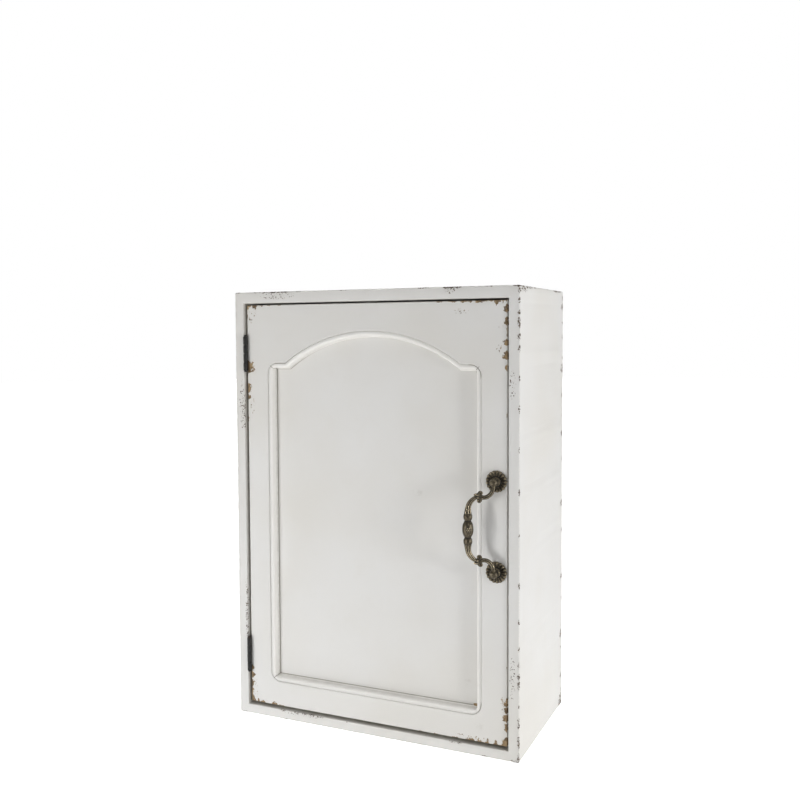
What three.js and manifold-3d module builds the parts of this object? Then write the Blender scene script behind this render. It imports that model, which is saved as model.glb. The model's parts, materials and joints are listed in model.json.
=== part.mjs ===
// Apothecary wall cabinet: a painted box with one inset, arch-panelled door that
// hangs on two iron butt hinges and opens by a swinging brass bail handle.
//
// Units are millimetres. The origin is the middle of the cabinet's underside:
// +X is to the right seen from the front, -Y is towards the user, +Z is up.

import * as THREE from 'three';
import { mergeVertices } from 'three/addons/utils/BufferGeometryUtils.js';
import Module from 'manifold-3d';

const wasm = await Module();
wasm.setup();

// ---------------------------------------------------------------- dimensions

// Carcass
const WIDTH = 345;
const DEPTH = 180;
const HEIGHT = 500;
const BOARD = 12; // the sides and the hanging rail
const TOP_BOARD = 13;
const BOTTOM_BOARD = 11;
const FRONT = -DEPTH / 2;
const REAR = DEPTH / 2;
const GAP = 0.3; // clearance between pieces that touch

// Back panel, set in a rabbet all round
const BACK_THICK = 4;
const BACK_INSET = 2.5;
const RABBET = 5;
const RAIL_TALL = 50; // hanging rail behind the top of the back panel

// Shelves on pins
const SHELF_THICK = 10;
const SHELF_TOPS = [170, 330];
const SHELF_FRONT = FRONT + 24;
const SHELF_END_PLAY = 2;
const PIN_R = 2.5;
const PIN_REACH = 7;
const PIN_SOCKET = 8;
const PIN_COLLAR = { radius: 3.8, thick: 1.2 };
const PIN_Y = { front: -45, rear: 55 };

// Door
const DOOR_PLAY = { hinge: 3, free: 1.9, top: 2, bottom: 3.3 };
const DOOR_RECESS = 2.4;
const DOOR_THICK = 18;
const RAIL = 28; // face width of the stiles
const OPEN_LOW = 43; // the panel opening's lower line
const CORNER_R = 12;
const SHOULDER_Z = 418;
const ARCH_HALF = 107;
const ARCH_TOP = 454;
const BEAD = 7; // width of the moulding round the panel
const PANEL_DROP = 9.5; // depth of the panel's face behind the door's face
const PANEL_THICK = 5;

// Hinges
const HINGE_Z = { upper: 429, lower: 72 };
const HINGE_LENGTH = 40;
const KNUCKLES = 4;
const KNUCKLE_R = 2.5;
const HINGE_PIN_R = 1.2;
const HINGE_PIN_PLAY = 0.4;
const LEAF_THICK = 1.05;
const LEAF_DEPTH = 20;
const LEAF_SCREW_Z = 12;
const LEAF_SCREW_Y = FRONT + 11.5;
const BARREL_SHIFT = 0.7; // the barrel's middle, towards the door from the gap's middle

// Magnetic catch on the right side and its strike plate on the door
const CATCH = { wide: 12, deep: 14, tall: 32, flange: 2, flangeTall: 52, wall: 2, screwZ: 21 };
const CATCH_PLAY = 2.1; // between the door's rear face and the catch
const STRIKE = { x: 149.5, wide: 12, tall: 28, thick: 1.2 };

// Handle
const HANDLE_X = 147;
const HANDLE_Z = 248;
const HANDLE_CENTRES = 96;
const HANDLE_STAND = 11; // swing axis in front of the door's face
const BAIL_REACH = 26.5;
const BAIL_LEAN = 25; // degrees between the bail and the door's face at rest
const ROSETTE_R = 11.6;
const ROSETTE_THICK = 3.2;
const PETALS = 17;
const BOSS_R = 4.2;
const BOSS_FRONT = 4.2; // the post's tip in front of the swing axis
const PIVOT_R = 1.6;
const PIVOT_PLAY = 0.4;
const HANDLE_SCREW = { shank: 1.9, head: 4, headTall: 2.2 };

// Wall hangers: plates with a keyhole, screwed through the back panel
const HANGER_X = 130;
const HANGER = { wide: 20, tall: 50, thick: 1.2, top: 488, eyeR: 4.8, slotR: 2.2 };
const HANGER_EYE_Z = HANGER.top - 30;
const HANGER_SLOT_Z = HANGER.top - 17;
const HANGER_SCREW_INSET = 4.5;

// Wood screws
const SCREW = { head: 2.9, shank: 1.4, cone: 1.6, rim: 0.2 };

// -------------------------------------------------------------- places, worked out

const HALF = WIDTH / 2;
const INNER = HALF - BOARD;
const CEILING = HEIGHT - TOP_BOARD;
const BACK_REAR = REAR - BACK_INSET;
const BACK_FRONT = BACK_REAR - BACK_THICK;

const DOOR_HALF = INNER - DOOR_PLAY.hinge;
const DOOR_FREE_EDGE = INNER - DOOR_PLAY.free;
const DOOR_LOW = BOTTOM_BOARD + DOOR_PLAY.bottom;
const DOOR_HIGH = CEILING - DOOR_PLAY.top;
const DOOR_FACE = FRONT + DOOR_RECESS;
const DOOR_REAR = DOOR_FACE + DOOR_THICK;
const PANEL_FACE = DOOR_FACE + PANEL_DROP;
const PANEL_REAR = PANEL_FACE + PANEL_THICK;

const OPEN_HALF = DOOR_HALF - RAIL + 0.5;
const ARCH_RISE = ARCH_TOP - SHOULDER_Z;
const ARCH_R = (ARCH_HALF ** 2 + ARCH_RISE ** 2) / (2 * ARCH_RISE);
const ARCH_MIDDLE_Z = ARCH_TOP - ARCH_R;

const HINGE_AXIS = { x: BARREL_SHIFT - (INNER + DOOR_HALF) / 2, y: FRONT - 0.6 };
const CASE_LEAF_FACE = GAP + LEAF_THICK - INNER;
const DOOR_LEAF_FACE = -DOOR_HALF - GAP - LEAF_THICK;
const CATCH_FRONT = DOOR_REAR + CATCH_PLAY;
const CATCH_RIGHT = INNER - GAP;
const STRIKE_FACE = DOOR_REAR + GAP + STRIKE.thick;
const HANGER_FACE = BACK_REAR + GAP + HANGER.thick;
const SWING_AXIS = { x: HANDLE_X, y: DOOR_FACE - HANDLE_STAND };
const POST_Z = { upper: HANDLE_Z + HANDLE_CENTRES / 2, lower: HANDLE_Z - HANDLE_CENTRES / 2 };

// ------------------------------------------------------------------ materials

const PAINT = { color: 0xcfcec9, roughness: 0.62, metalness: 0 };
const HARDBOARD = { color: 0xb9a88a, roughness: 0.8, metalness: 0 };
const ANTIQUE_BRASS = { color: 0x6b5f45, roughness: 0.38, metalness: 1 };
const BLACK_IRON = { color: 0x2a2a2a, roughness: 0.55, metalness: 1 };
const STEEL = { color: 0xb7b7b4, roughness: 0.35, metalness: 1 };
const WHITE_PLASTIC = { color: 0xe6e4de, roughness: 0.45, metalness: 0 };

const cabinet = new THREE.Group();

// -------------------------------------------------------------- solid helpers

function toSolid(geometry) {
  const bare = geometry.clone();
  bare.deleteAttribute('normal');
  bare.deleteAttribute('uv');
  const merged = mergeVertices(bare, 1e-4);
  return new wasm.Manifold(new wasm.Mesh({
    numProp: 3,
    vertProperties: new Float32Array(merged.attributes.position.array),
    triVerts: new Uint32Array(merged.index.array),
  }));
}

function toGeometry(solid) {
  const mesh = solid.getMesh();
  const geometry = new THREE.BufferGeometry();
  geometry.setAttribute('position', new THREE.BufferAttribute(mesh.vertProperties, 3));
  geometry.setIndex(new THREE.BufferAttribute(mesh.triVerts, 1));
  geometry.computeVertexNormals();
  return geometry;
}

function add(name, solid, look) {
  const mesh = new THREE.Mesh(toGeometry(solid), new THREE.MeshStandardMaterial(look));
  mesh.name = name;
  cabinet.add(mesh);
}

// A box from its lowest to its highest corner
function block([x0, y0, z0], [x1, y1, z1]) {
  const geometry = new THREE.BoxGeometry(x1 - x0, y1 - y0, z1 - z0);
  geometry.translate((x0 + x1) / 2, (y0 + y1) / 2, (z0 + z1) / 2);
  return toSolid(geometry);
}

// A front-view outline of [x, z] points, extruded from y0 back to y1
function slab(outline, y0, y1) {
  const shape = new THREE.Shape(outline.map(([x, z]) => new THREE.Vector2(x, z)));
  const geometry = new THREE.ExtrudeGeometry(shape, { depth: y1 - y0, bevelEnabled: false });
  geometry.rotateX(Math.PI / 2);
  geometry.translate(0, y1, 0);
  return toSolid(geometry);
}

// A turned solid: [radius, distance] points along direction from a start point
function turned(profile, start, direction, segments = 12) {
  const points = profile.map(([r, d]) => new THREE.Vector2(r, d));
  const geometry = new THREE.LatheGeometry(points, segments);
  const up = new THREE.Vector3(0, 1, 0);
  const turn = new THREE.Quaternion().setFromUnitVectors(up, new THREE.Vector3(...direction));
  geometry.applyQuaternion(turn);
  geometry.translate(...start);
  return toSolid(geometry);
}

function rod(radius, start, direction, length, segments = 12) {
  const profile = [[0, 0], [radius, 0], [radius, length], [0, length]];
  return turned(profile, start, direction, segments);
}

// A turned solid's profile, from the half above its middle
function mirrorProfile(upper) {
  const lower = upper.filter(([, d]) => d > 0).map(([r, d]) => [r, -d]).reverse();
  return lower.concat(upper);
}

function ball(centre, radius) {
  const geometry = new THREE.SphereGeometry(radius, 8, 5);
  geometry.translate(...centre);
  return toSolid(geometry);
}

function joinAll(solids) {
  return solids.reduce((whole, piece) => whole.add(piece));
}

function cutAll(solid, cutters) {
  return cutters.reduce((rest, cutter) => rest.subtract(cutter), solid);
}

// --------------------------------------------------------------------- screws

// A countersunk wood screw whose head lies flush at its start point
function screwBody(start, direction, length, grow = 0) {
  const head = SCREW.head + grow;
  const shank = SCREW.shank + grow;
  const above = grow > 0 ? -0.5 : 0;
  const end = length + grow;
  const profile = [
    [0, above], [head, above], [head, SCREW.rim], [shank, SCREW.cone], [shank, end], [0, end],
  ];
  return turned(profile, start, direction, 8);
}

function screwHole(screw) {
  return screwBody(screw.at, screw.into, screw.length, GAP);
}

function addScrew(screw, look) {
  add(screw.name, screwBody(screw.at, screw.into, screw.length), look);
}

// ------------------------------------------------------------- places of screws

function leafScrews(side) {
  const onCase = side === 'case';
  const screws = [];
  for (const [which, z] of Object.entries(HINGE_Z)) {
    for (const [place, offset] of [['top', LEAF_SCREW_Z], ['bottom', -LEAF_SCREW_Z]]) {
      screws.push({
        name: `hinge_${which}_${side}_screw_${place}`,
        at: [onCase ? CASE_LEAF_FACE : DOOR_LEAF_FACE, LEAF_SCREW_Y, z + offset],
        into: [onCase ? -1 : 1, 0, 0],
        length: 10,
      });
    }
  }
  return screws;
}

const caseLeafScrews = leafScrews('case');
const doorLeafScrews = leafScrews('door');

// The catch is level with the handle
const catchScrews = [1, -1].map((end) => ({
  name: end > 0 ? 'catch_screw_top' : 'catch_screw_bottom',
  at: [CATCH_RIGHT - CATCH.flange, CATCH_FRONT + CATCH.deep / 2, HANDLE_Z + end * CATCH.screwZ],
  into: [1, 0, 0],
  length: 10,
}));

const strikeScrew = {
  name: 'strike_plate_screw',
  at: [STRIKE.x, STRIKE_FACE, HANDLE_Z],
  into: [0, -1, 0],
  length: 10,
};

const hangerScrews = [];
const hangerScrewZ = {
  top: HANGER.top - HANGER_SCREW_INSET,
  bottom: HANGER.top - HANGER.tall + HANGER_SCREW_INSET,
};
for (const [side, x] of [['left', -HANGER_X], ['right', HANGER_X]]) {
  for (const [place, z] of Object.entries(hangerScrewZ)) {
    hangerScrews.push({
      name: `hanger_${side}_screw_${place}`,
      at: [x, HANGER_FACE, z],
      into: [0, -1, 0],
      length: 12,
    });
  }
}

// ------------------------------------------------------------------- shelf pins

const shelfPins = [];
SHELF_TOPS.forEach((top, level) => {
  for (const [side, sign] of [['left', -1], ['right', 1]]) {
    for (const [place, y] of Object.entries(PIN_Y)) {
      shelfPins.push({
        name: `shelf_pin_${level === 0 ? 'lower' : 'upper'}_${side}_${place}`,
        sign,
        y,
        z: top - SHELF_THICK - GAP - PIN_R,
      });
    }
  }
});

function pinSocket(pin) {
  const start = [pin.sign * (INNER - 1), pin.y, pin.z];
  return rod(PIN_R + GAP, start, [pin.sign, 0, 0], PIN_SOCKET + 1, 10);
}

function shelfPin(pin) {
  const deep = PIN_SOCKET - GAP;
  const collarEnd = PIN_SOCKET + PIN_COLLAR.thick;
  const tip = deep + PIN_REACH;
  const profile = [
    [0, 0], [PIN_R, 0], [PIN_R, PIN_SOCKET], [PIN_COLLAR.radius, PIN_SOCKET],
    [PIN_COLLAR.radius, collarEnd], [PIN_R, collarEnd], [PIN_R, tip], [0, tip],
  ];
  return turned(profile, [pin.sign * (INNER + deep), pin.y, pin.z], [-pin.sign, 0, 0], 10);
}

// ---------------------------------------------------------------------- carcass

function sidePanel(sign) {
  const edges = [sign * INNER, sign * HALF].sort((a, b) => a - b);
  const board = block([edges[0], FRONT, 0], [edges[1], REAR, HEIGHT]);
  const rabbetEdges = [sign * (INNER - 1), sign * (INNER + RABBET)].sort((a, b) => a - b);
  const rabbetLow = [rabbetEdges[0], BACK_FRONT - GAP, BOTTOM_BOARD - RABBET];
  const rabbetHigh = [rabbetEdges[1], REAR + 1, CEILING + RABBET];
  const cutters = [block(rabbetLow, rabbetHigh)];
  shelfPins.filter((pin) => pin.sign === sign).forEach((pin) => cutters.push(pinSocket(pin)));
  if (sign < 0) {
    caseLeafScrews.forEach((screw) => cutters.push(screwHole(screw)));
    Object.values(HINGE_Z).forEach((z) => cutters.push(barrelRoom(z)));
  } else {
    catchScrews.forEach((screw) => cutters.push(screwHole(screw)));
  }
  return cutAll(board, cutters);
}

// The room that a hinge's barrel takes out of the side panel's front arris
function barrelRoom(z) {
  const long = HINGE_LENGTH + 4;
  const start = [HINGE_AXIS.x, HINGE_AXIS.y, z - long / 2];
  return rod(KNUCKLE_R + 0.5, start, [0, 0, 1], long);
}

function flatPanel(low, high, rabbetLow, rabbetHigh) {
  const reach = INNER - GAP;
  const board = block([-reach, FRONT, low], [reach, REAR, high]);
  const rabbet = block([-reach - 1, BACK_FRONT - GAP, rabbetLow], [reach + 1, REAR + 1, rabbetHigh]);
  return board.subtract(rabbet);
}

// Where a wall screw's head slides in behind a hanger's keyhole
function hangerPocket(x) {
  const half = HANGER.eyeR + 1.2;
  const low = [x - half, BACK_FRONT - 5, HANGER_EYE_Z - half];
  return block(low, [x + half, REAR, HANGER_SLOT_Z + 5]);
}

function backPanel() {
  const reach = INNER + RABBET - GAP;
  const low = [-reach, BACK_FRONT, BOTTOM_BOARD - RABBET + GAP];
  const high = [reach, BACK_REAR, CEILING + RABBET - GAP];
  const cutters = hangerScrews.map(screwHole);
  cutters.push(hangerPocket(-HANGER_X), hangerPocket(HANGER_X));
  return cutAll(block(low, high), cutters);
}

function hangingRail() {
  const reach = INNER - GAP;
  const rear = BACK_FRONT - GAP;
  const low = [-reach, rear - BOARD, CEILING - GAP - RAIL_TALL];
  const cutters = hangerScrews.map(screwHole);
  cutters.push(hangerPocket(-HANGER_X), hangerPocket(HANGER_X));
  return cutAll(block(low, [reach, rear, CEILING - GAP]), cutters);
}

function hangerPlate(x) {
  const half = HANGER.wide / 2;
  const low = [x - half, BACK_REAR + GAP, HANGER.top - HANGER.tall];
  const plate = block(low, [x + half, HANGER_FACE, HANGER.top]);
  const { eyeR, slotR } = HANGER;
  const y = BACK_REAR - 1;
  const through = 5;
  const cutters = [
    rod(eyeR, [x, y, HANGER_EYE_Z], [0, 1, 0], through),
    rod(slotR, [x, y, HANGER_SLOT_Z], [0, 1, 0], through),
    block([x - slotR, y, HANGER_EYE_Z], [x + slotR, y + through, HANGER_SLOT_Z]),
  ];
  const screws = hangerScrews.filter((screw) => screw.at[0] === x);
  screws.forEach((screw) => cutters.push(screwHole(screw)));
  return cutAll(plate, cutters);
}

function shelf(top) {
  const reach = INNER - SHELF_END_PLAY;
  const low = [-reach, SHELF_FRONT, top - SHELF_THICK];
  return block(low, [reach, BACK_FRONT - GAP, top]);
}

function addCarcass() {
  add('side_panel_left', sidePanel(-1), PAINT);
  add('side_panel_right', sidePanel(1), PAINT);
  add('top_panel', flatPanel(CEILING, HEIGHT, CEILING - 1, CEILING + RABBET), PAINT);
  const underRabbet = BOTTOM_BOARD - RABBET;
  add('bottom_panel', flatPanel(0, BOTTOM_BOARD, underRabbet, BOTTOM_BOARD + 1), PAINT);
  add('back_panel', backPanel(), HARDBOARD);
  add('hanging_rail', hangingRail(), PAINT);
  add('shelf_lower', shelf(SHELF_TOPS[0]), PAINT);
  add('shelf_upper', shelf(SHELF_TOPS[1]), PAINT);
  shelfPins.forEach((pin) => add(pin.name, shelfPin(pin), STEEL));
  add('hanger_plate_left', hangerPlate(-HANGER_X), STEEL);
  add('hanger_plate_right', hangerPlate(HANGER_X), STEEL);
  hangerScrews.forEach((screw) => addScrew(screw, STEEL));
}

// ------------------------------------------------------------------------ door

// The line round the door's panel opening, moved inwards by `inset`, with its four
// plain corners rounded to `radius`. It runs down the right side, along the bottom,
// up the left side and over the arch.
function panelOutline(inset, radius) {
  const half = OPEN_HALF - inset;
  const low = OPEN_LOW + inset;
  const shoulder = SHOULDER_Z - inset;
  const archR = ARCH_R - inset;
  const spring = Math.acos((shoulder - ARCH_MIDDLE_Z) / archR);
  const cornerSteps = 4;
  const archSteps = 10;
  const right = [];
  const arc = (x, z, r, from, to, steps) => {
    for (let i = 0; i <= steps; i += 1) {
      const angle = from + ((to - from) * i) / steps;
      right.push([x + r * Math.cos(angle), z + r * Math.sin(angle)]);
    }
  };
  const quarter = Math.PI / 2;
  arc(0, ARCH_MIDDLE_Z, archR, quarter, quarter - spring, archSteps);
  arc(half - radius, shoulder - radius, radius, quarter, 0, cornerSteps);
  arc(half - radius, low + radius, radius, 0, -quarter, cornerSteps);
  const left = right.slice(1).map(([x, z]) => [-x, z]).reverse();
  return right.concat(left);
}

// The frame's blank: a rabbeted opening that takes the panel from the front, and a
// narrower rear lip behind it
function doorFrame() {
  const board = block([-DOOR_HALF, DOOR_FACE, DOOR_LOW], [DOOR_FREE_EDGE, DOOR_REAR, DOOR_HIGH]);
  const lip = PANEL_REAR + GAP;
  const frontOpening = slab(panelOutline(0, CORNER_R), DOOR_FACE - 1, lip);
  const rearOpening = slab(panelOutline(BEAD, 1), lip - 1, DOOR_REAR + 1);
  const cutters = [frontOpening, rearOpening, screwHole(strikeScrew)];
  doorLeafScrews.forEach((screw) => cutters.push(screwHole(screw)));
  for (const z of Object.values(POST_Z)) {
    const start = [HANDLE_X, DOOR_FACE - 1, z];
    cutters.push(rod(HANDLE_SCREW.shank + GAP, start, [0, 1, 0], DOOR_THICK + 2));
  }
  return cutAll(board, cutters);
}

// The moulding as one ring: an ovolo from the outer line down to the panel
function beadRing() {
  const outer = panelOutline(GAP, CORNER_R - GAP);
  const inner = panelOutline(BEAD, 0.8);
  const count = outer.length;
  const foot = PANEL_FACE - GAP;
  const drop = foot - DOOR_FACE;
  const section = [[0, 1]];
  const steps = 4;
  for (let i = 0; i <= steps; i += 1) {
    const angle = (Math.PI / 2) * (i / steps);
    section.push([Math.sin(angle), 0.04 + 0.9 * (1 - Math.cos(angle))]);
  }
  section.push([1, 1]);
  const vertices = [];
  for (const [across, deep] of section) {
    for (let i = 0; i < count; i += 1) {
      const x = outer[i][0] + (inner[i][0] - outer[i][0]) * across;
      const z = outer[i][1] + (inner[i][1] - outer[i][1]) * across;
      vertices.push(x, DOOR_FACE + drop * deep, z);
    }
  }
  const faces = [];
  for (let row = 0; row < section.length; row += 1) {
    const next = (row + 1) % section.length;
    for (let i = 0; i < count; i += 1) {
      const j = (i + 1) % count;
      faces.push(row * count + i, next * count + i, row * count + j);
      faces.push(row * count + j, next * count + i, next * count + j);
    }
  }
  const geometry = new THREE.BufferGeometry();
  geometry.setAttribute('position', new THREE.Float32BufferAttribute(vertices, 3));
  geometry.setIndex(faces);
  return toSolid(geometry);
}

// The four lengths that the moulding is cut into, with mitres at the corners: each is
// bounded by 45 degree lines from outside the opening to well inside it
function beadRegions() {
  const out = 40;
  const deep = 60;
  const outX = OPEN_HALF + out;
  const inX = OPEN_HALF - deep;
  const outLow = OPEN_LOW - out;
  const inLow = OPEN_LOW + deep;
  const outTop = SHOULDER_Z + out;
  const inTop = SHOULDER_Z - deep;
  const left = [
    [-outX, outLow + GAP], [-inX, inLow + GAP], [-inX, inTop - GAP], [-outX, outTop - GAP],
  ];
  const bottom = [[-outX, outLow], [outX, outLow], [inX, inLow], [-inX, inLow]];
  const arch = [[-outX, outTop], [-inX, inTop], [inX, inTop], [outX, outTop]];
  return {
    left,
    right: left.map(([x, z]) => [-x, z]).reverse(),
    bottom,
    arch,
  };
}

function addDoor() {
  const frame = doorFrame();
  const split = OPEN_HALF - BEAD;
  const far = DOOR_FREE_EDGE + 1;
  const y0 = DOOR_FACE - 1;
  const y1 = DOOR_REAR + 1;
  const cut = (x0, x1, z0, z1) => frame.intersect(block([x0, y0, z0], [x1, y1, z1]));
  add('door_stile_left', cut(-far, -split - GAP / 2, 0, HEIGHT), PAINT);
  add('door_stile_right', cut(split + GAP / 2, far, 0, HEIGHT), PAINT);
  add('door_rail_bottom', cut(-split + GAP / 2, split - GAP / 2, 0, HEIGHT / 2), PAINT);
  add('door_rail_arched', cut(-split + GAP / 2, split - GAP / 2, HEIGHT / 2, HEIGHT), PAINT);
  const panel = slab(panelOutline(GAP + 0.2, CORNER_R - GAP), PANEL_FACE, PANEL_REAR);
  add('door_panel', panel, PAINT);
  const ring = beadRing();
  for (const [side, region] of Object.entries(beadRegions())) {
    add(`panel_bead_${side}`, ring.intersect(slab(region, DOOR_FACE - 1, PANEL_FACE)), PAINT);
  }
}

// ---------------------------------------------------------------------- hinges

// One leaf of a butt hinge with its knuckles. The case's leaf has the even
// knuckles from the bottom, the door's leaf the odd ones.
function hingeLeaf(z, onCase, screws) {
  const low = z - HINGE_LENGTH / 2;
  const step = HINGE_LENGTH / KNUCKLES;
  const x0 = onCase ? CASE_LEAF_FACE - LEAF_THICK : DOOR_LEAF_FACE;
  const x1 = x0 + LEAF_THICK;
  const plateFront = HINGE_AXIS.y + KNUCKLE_R + GAP;
  const plateRear = FRONT + 2 + LEAF_DEPTH;
  const pieces = [block([x0, plateFront, low], [x1, plateRear, low + HINGE_LENGTH])];
  for (let i = onCase ? 1 : 0; i < KNUCKLES; i += 2) {
    const start = low + i * step + GAP / 2;
    const long = step - GAP;
    pieces.push(rod(KNUCKLE_R, [HINGE_AXIS.x, HINGE_AXIS.y, start], [0, 0, 1], long));
    pieces.push(block([x0, HINGE_AXIS.y + 1.2, start], [x1, plateFront + 1, start + long]));
  }
  const boreStart = [HINGE_AXIS.x, HINGE_AXIS.y, low - 1];
  const bore = rod(HINGE_PIN_R + HINGE_PIN_PLAY, boreStart, [0, 0, 1], HINGE_LENGTH + 2);
  return cutAll(joinAll(pieces), [bore, ...screws.map(screwHole)]);
}

// The loose pin, with a small domed head outside each end of the barrel
function hingePin(z) {
  const end = HINGE_LENGTH / 2 + GAP / 2;
  const head = 1.9;
  const upper = [
    [HINGE_PIN_R, end], [head, end], [head, end + 0.5], [head * 0.6, end + 1.3], [0, end + 1.5],
  ];
  return turned(mirrorProfile(upper), [HINGE_AXIS.x, HINGE_AXIS.y, z], [0, 0, 1]);
}

function addHinges() {
  for (const [which, z] of Object.entries(HINGE_Z)) {
    const near = (screw) => Math.abs(screw.at[2] - z) < HINGE_LENGTH;
    add(`hinge_${which}_case_leaf`, hingeLeaf(z, true, caseLeafScrews.filter(near)), BLACK_IRON);
    add(`hinge_${which}_door_leaf`, hingeLeaf(z, false, doorLeafScrews.filter(near)), BLACK_IRON);
    add(`hinge_${which}_pin`, hingePin(z), BLACK_IRON);
  }
  caseLeafScrews.concat(doorLeafScrews).forEach((screw) => addScrew(screw, BLACK_IRON));
}

// ----------------------------------------------------------------------- catch

function addCatch() {
  const x1 = CATCH_RIGHT;
  const x0 = x1 - CATCH.wide;
  const y0 = CATCH_FRONT;
  const y1 = y0 + CATCH.deep;
  const tall = CATCH.tall / 2;
  const flange = CATCH.flangeTall / 2;
  const shell = block([x0, y0, HANDLE_Z - tall], [x1, y1, HANDLE_Z + tall])
    .add(block([x1 - CATCH.flange, y0, HANDLE_Z - flange], [x1, y1, HANDLE_Z + flange]));
  const socketX = [x0 + CATCH.wall, x1 - CATCH.wall - 0.5];
  const socketTall = tall - CATCH.wall - 1;
  const socketDeep = CATCH.deep * 0.6;
  const socketLow = [socketX[0], y0 - 1, HANDLE_Z - socketTall];
  const socket = block(socketLow, [socketX[1], y0 + socketDeep, HANDLE_Z + socketTall]);
  add('catch_housing', cutAll(shell, [socket, ...catchScrews.map(screwHole)]), WHITE_PLASTIC);
  const magnetLow = [socketX[0] + GAP, y0 - 0.2, HANDLE_Z - socketTall + GAP];
  const magnetHigh = [socketX[1] - GAP, y0 + socketDeep - GAP, HANDLE_Z + socketTall - GAP];
  add('catch_magnet', block(magnetLow, magnetHigh), STEEL);
  catchScrews.forEach((screw) => addScrew(screw, STEEL));
  const strikeLow = [STRIKE.x - STRIKE.wide / 2, DOOR_REAR + GAP, HANDLE_Z - STRIKE.tall / 2];
  const strikeHigh = [STRIKE.x + STRIKE.wide / 2, STRIKE_FACE, HANDLE_Z + STRIKE.tall / 2];
  add('strike_plate', block(strikeLow, strikeHigh).subtract(screwHole(strikeScrew)), STEEL);
  addScrew(strikeScrew, STEEL);
}

// ---------------------------------------------------------------------- handle

// A flower-shaped plate: a scalloped rim round a low dome, with the screw's hole
function rosette(z) {
  const steps = PETALS * 3;
  const rim = [];
  for (let i = 0; i < steps; i += 1) {
    const angle = (2 * Math.PI * i) / steps;
    const lobe = Math.abs(Math.sin((PETALS * angle) / 2));
    const r = ROSETTE_R - 1 + lobe;
    rim.push([HANDLE_X + r * Math.cos(angle), z + r * Math.sin(angle)]);
  }
  const back = DOOR_FACE - GAP;
  const flower = slab(rim, back - 1.4, back);
  const dome = [
    [0, 0], [ROSETTE_R - 2, 0], [ROSETTE_R - 2.5, 1.9], [6, 2.4],
    [5, ROSETTE_THICK], [0, ROSETTE_THICK],
  ];
  const body = flower.add(turned(dome, [HANDLE_X, back, z], [0, -1, 0], 16));
  return body.subtract(rod(HANDLE_SCREW.shank + GAP, [HANDLE_X, back + 1, z], [0, -1, 0], 8));
}

// The post that stands on a rosette; the bail's pivot goes into its inner side
function post(z, inward) {
  const back = DOOR_FACE - GAP - ROSETTE_THICK - GAP;
  const tip = SWING_AXIS.y - BOSS_FRONT;
  const long = back - tip;
  const profile = [
    [0, 0], [4.4, 0], [4.4, 0.8], [3.2, 1.6], [3.2, 2.6], [BOSS_R, 4],
    [BOSS_R, long - 2.2], [3.2, long - 0.7], [1.6, long], [0, long],
  ];
  const body = turned(profile, [HANDLE_X, back, z], [0, -1, 0]);
  const pivotStart = [SWING_AXIS.x, SWING_AXIS.y, z + inward * 0.5];
  const pivotHole = rod(PIVOT_R + PIVOT_PLAY, pivotStart, [0, 0, inward], 6);
  const thread = rod(HANDLE_SCREW.shank + GAP, [HANDLE_X, back + 1, z], [0, -1, 0], 5);
  return cutAll(body, [pivotHole, thread]);
}

// The machine screw from inside the door
function handleScrew(z) {
  const seat = DOOR_REAR + GAP;
  const reach = DOOR_THICK + GAP + ROSETTE_THICK + 4;
  const { shank, head, headTall } = HANDLE_SCREW;
  const profile = [
    [0, -headTall], [head * 0.7, -headTall], [head, -headTall * 0.55], [head, 0],
    [shank, 0], [shank, reach], [0, reach],
  ];
  return turned(profile, [HANDLE_X, seat, z], [0, -1, 0]);
}

// A tube of round section along a route of [reach, height] points in the bail's plane
function bailTube(route, radius, steps) {
  const path = new THREE.CatmullRomCurve3(route.map(([s, z]) => new THREE.Vector3(s, 0, z)));
  const section = new THREE.Shape();
  section.absarc(0, 0, radius, 0, 2 * Math.PI, false);
  const options = { steps, bevelEnabled: false, extrudePath: path, curveSegments: 4 };
  return toSolid(new THREE.ExtrudeGeometry(section, options));
}

// The bail, drawn in its own plane: reach from the swing axis and height from its
// middle, then leaned towards the door's face. Each arm is a hook that curls over
// above a knot, and a branch that runs from the knot down to the grip.
function bail() {
  const end = HANDLE_CENTRES / 2;
  const hook = [
    [0, end - BOSS_R - 0.6], [0.4, 39.5], [2.4, 35], [7.2, 31.9],
    [12.1, 33], [14.7, 36], [13.4, 38.8], [11.7, 37.6],
  ];
  const branch = [[14.9, 33.4], [18.8, 31.8], [22.3, 29], [24.7, 25.4], [26.1, 21], [BAIL_REACH, 16.5]];
  const pieces = [];
  for (const up of [1, -1]) {
    const mirrored = (route) => route.map(([s, z]) => [s, up * z]);
    pieces.push(bailTube(mirrored(hook), 1.9, 14));
    pieces.push(bailTube(mirrored(branch), 2.1, 8));
    pieces.push(rod(PIVOT_R, [0, 0, up * (end - 1.5)], [0, 0, -up], 5, 8));
    pieces.push(ball([15.7, 0, up * 33.2], 2.9));
    pieces.push(ball([14.8, 0, up * 29.6], 2.3));
  }
  const grip = mirrorProfile([
    [5.8, 0], [5.2, 4.5], [3.6, 8], [3.3, 9], [4.3, 10.8],
    [4.5, 12.6], [3.7, 15.6], [2.6, 19], [1.9, 22], [0, 22],
  ]);
  pieces.push(turned(grip, [BAIL_REACH, 0, 0], [0, 0, 1]));
  const leaned = joinAll(pieces).rotate([0, 0, 180 + BAIL_LEAN]);
  return leaned.translate([SWING_AXIS.x, SWING_AXIS.y, HANDLE_Z]);
}

function addHandle() {
  for (const [place, z] of Object.entries(POST_Z)) {
    const inward = Math.sign(HANDLE_Z - z);
    add(`handle_rosette_${place}`, rosette(z), ANTIQUE_BRASS);
    add(`handle_post_${place}`, post(z, inward), ANTIQUE_BRASS);
    add(`handle_screw_${place}`, handleScrew(z), STEEL);
  }
  add('handle_bail', bail(), ANTIQUE_BRASS);
}

// --------------------------------------------------------------------- assembly

addCarcass();
addHinges();
addCatch();
addDoor();
addHandle();

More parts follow.
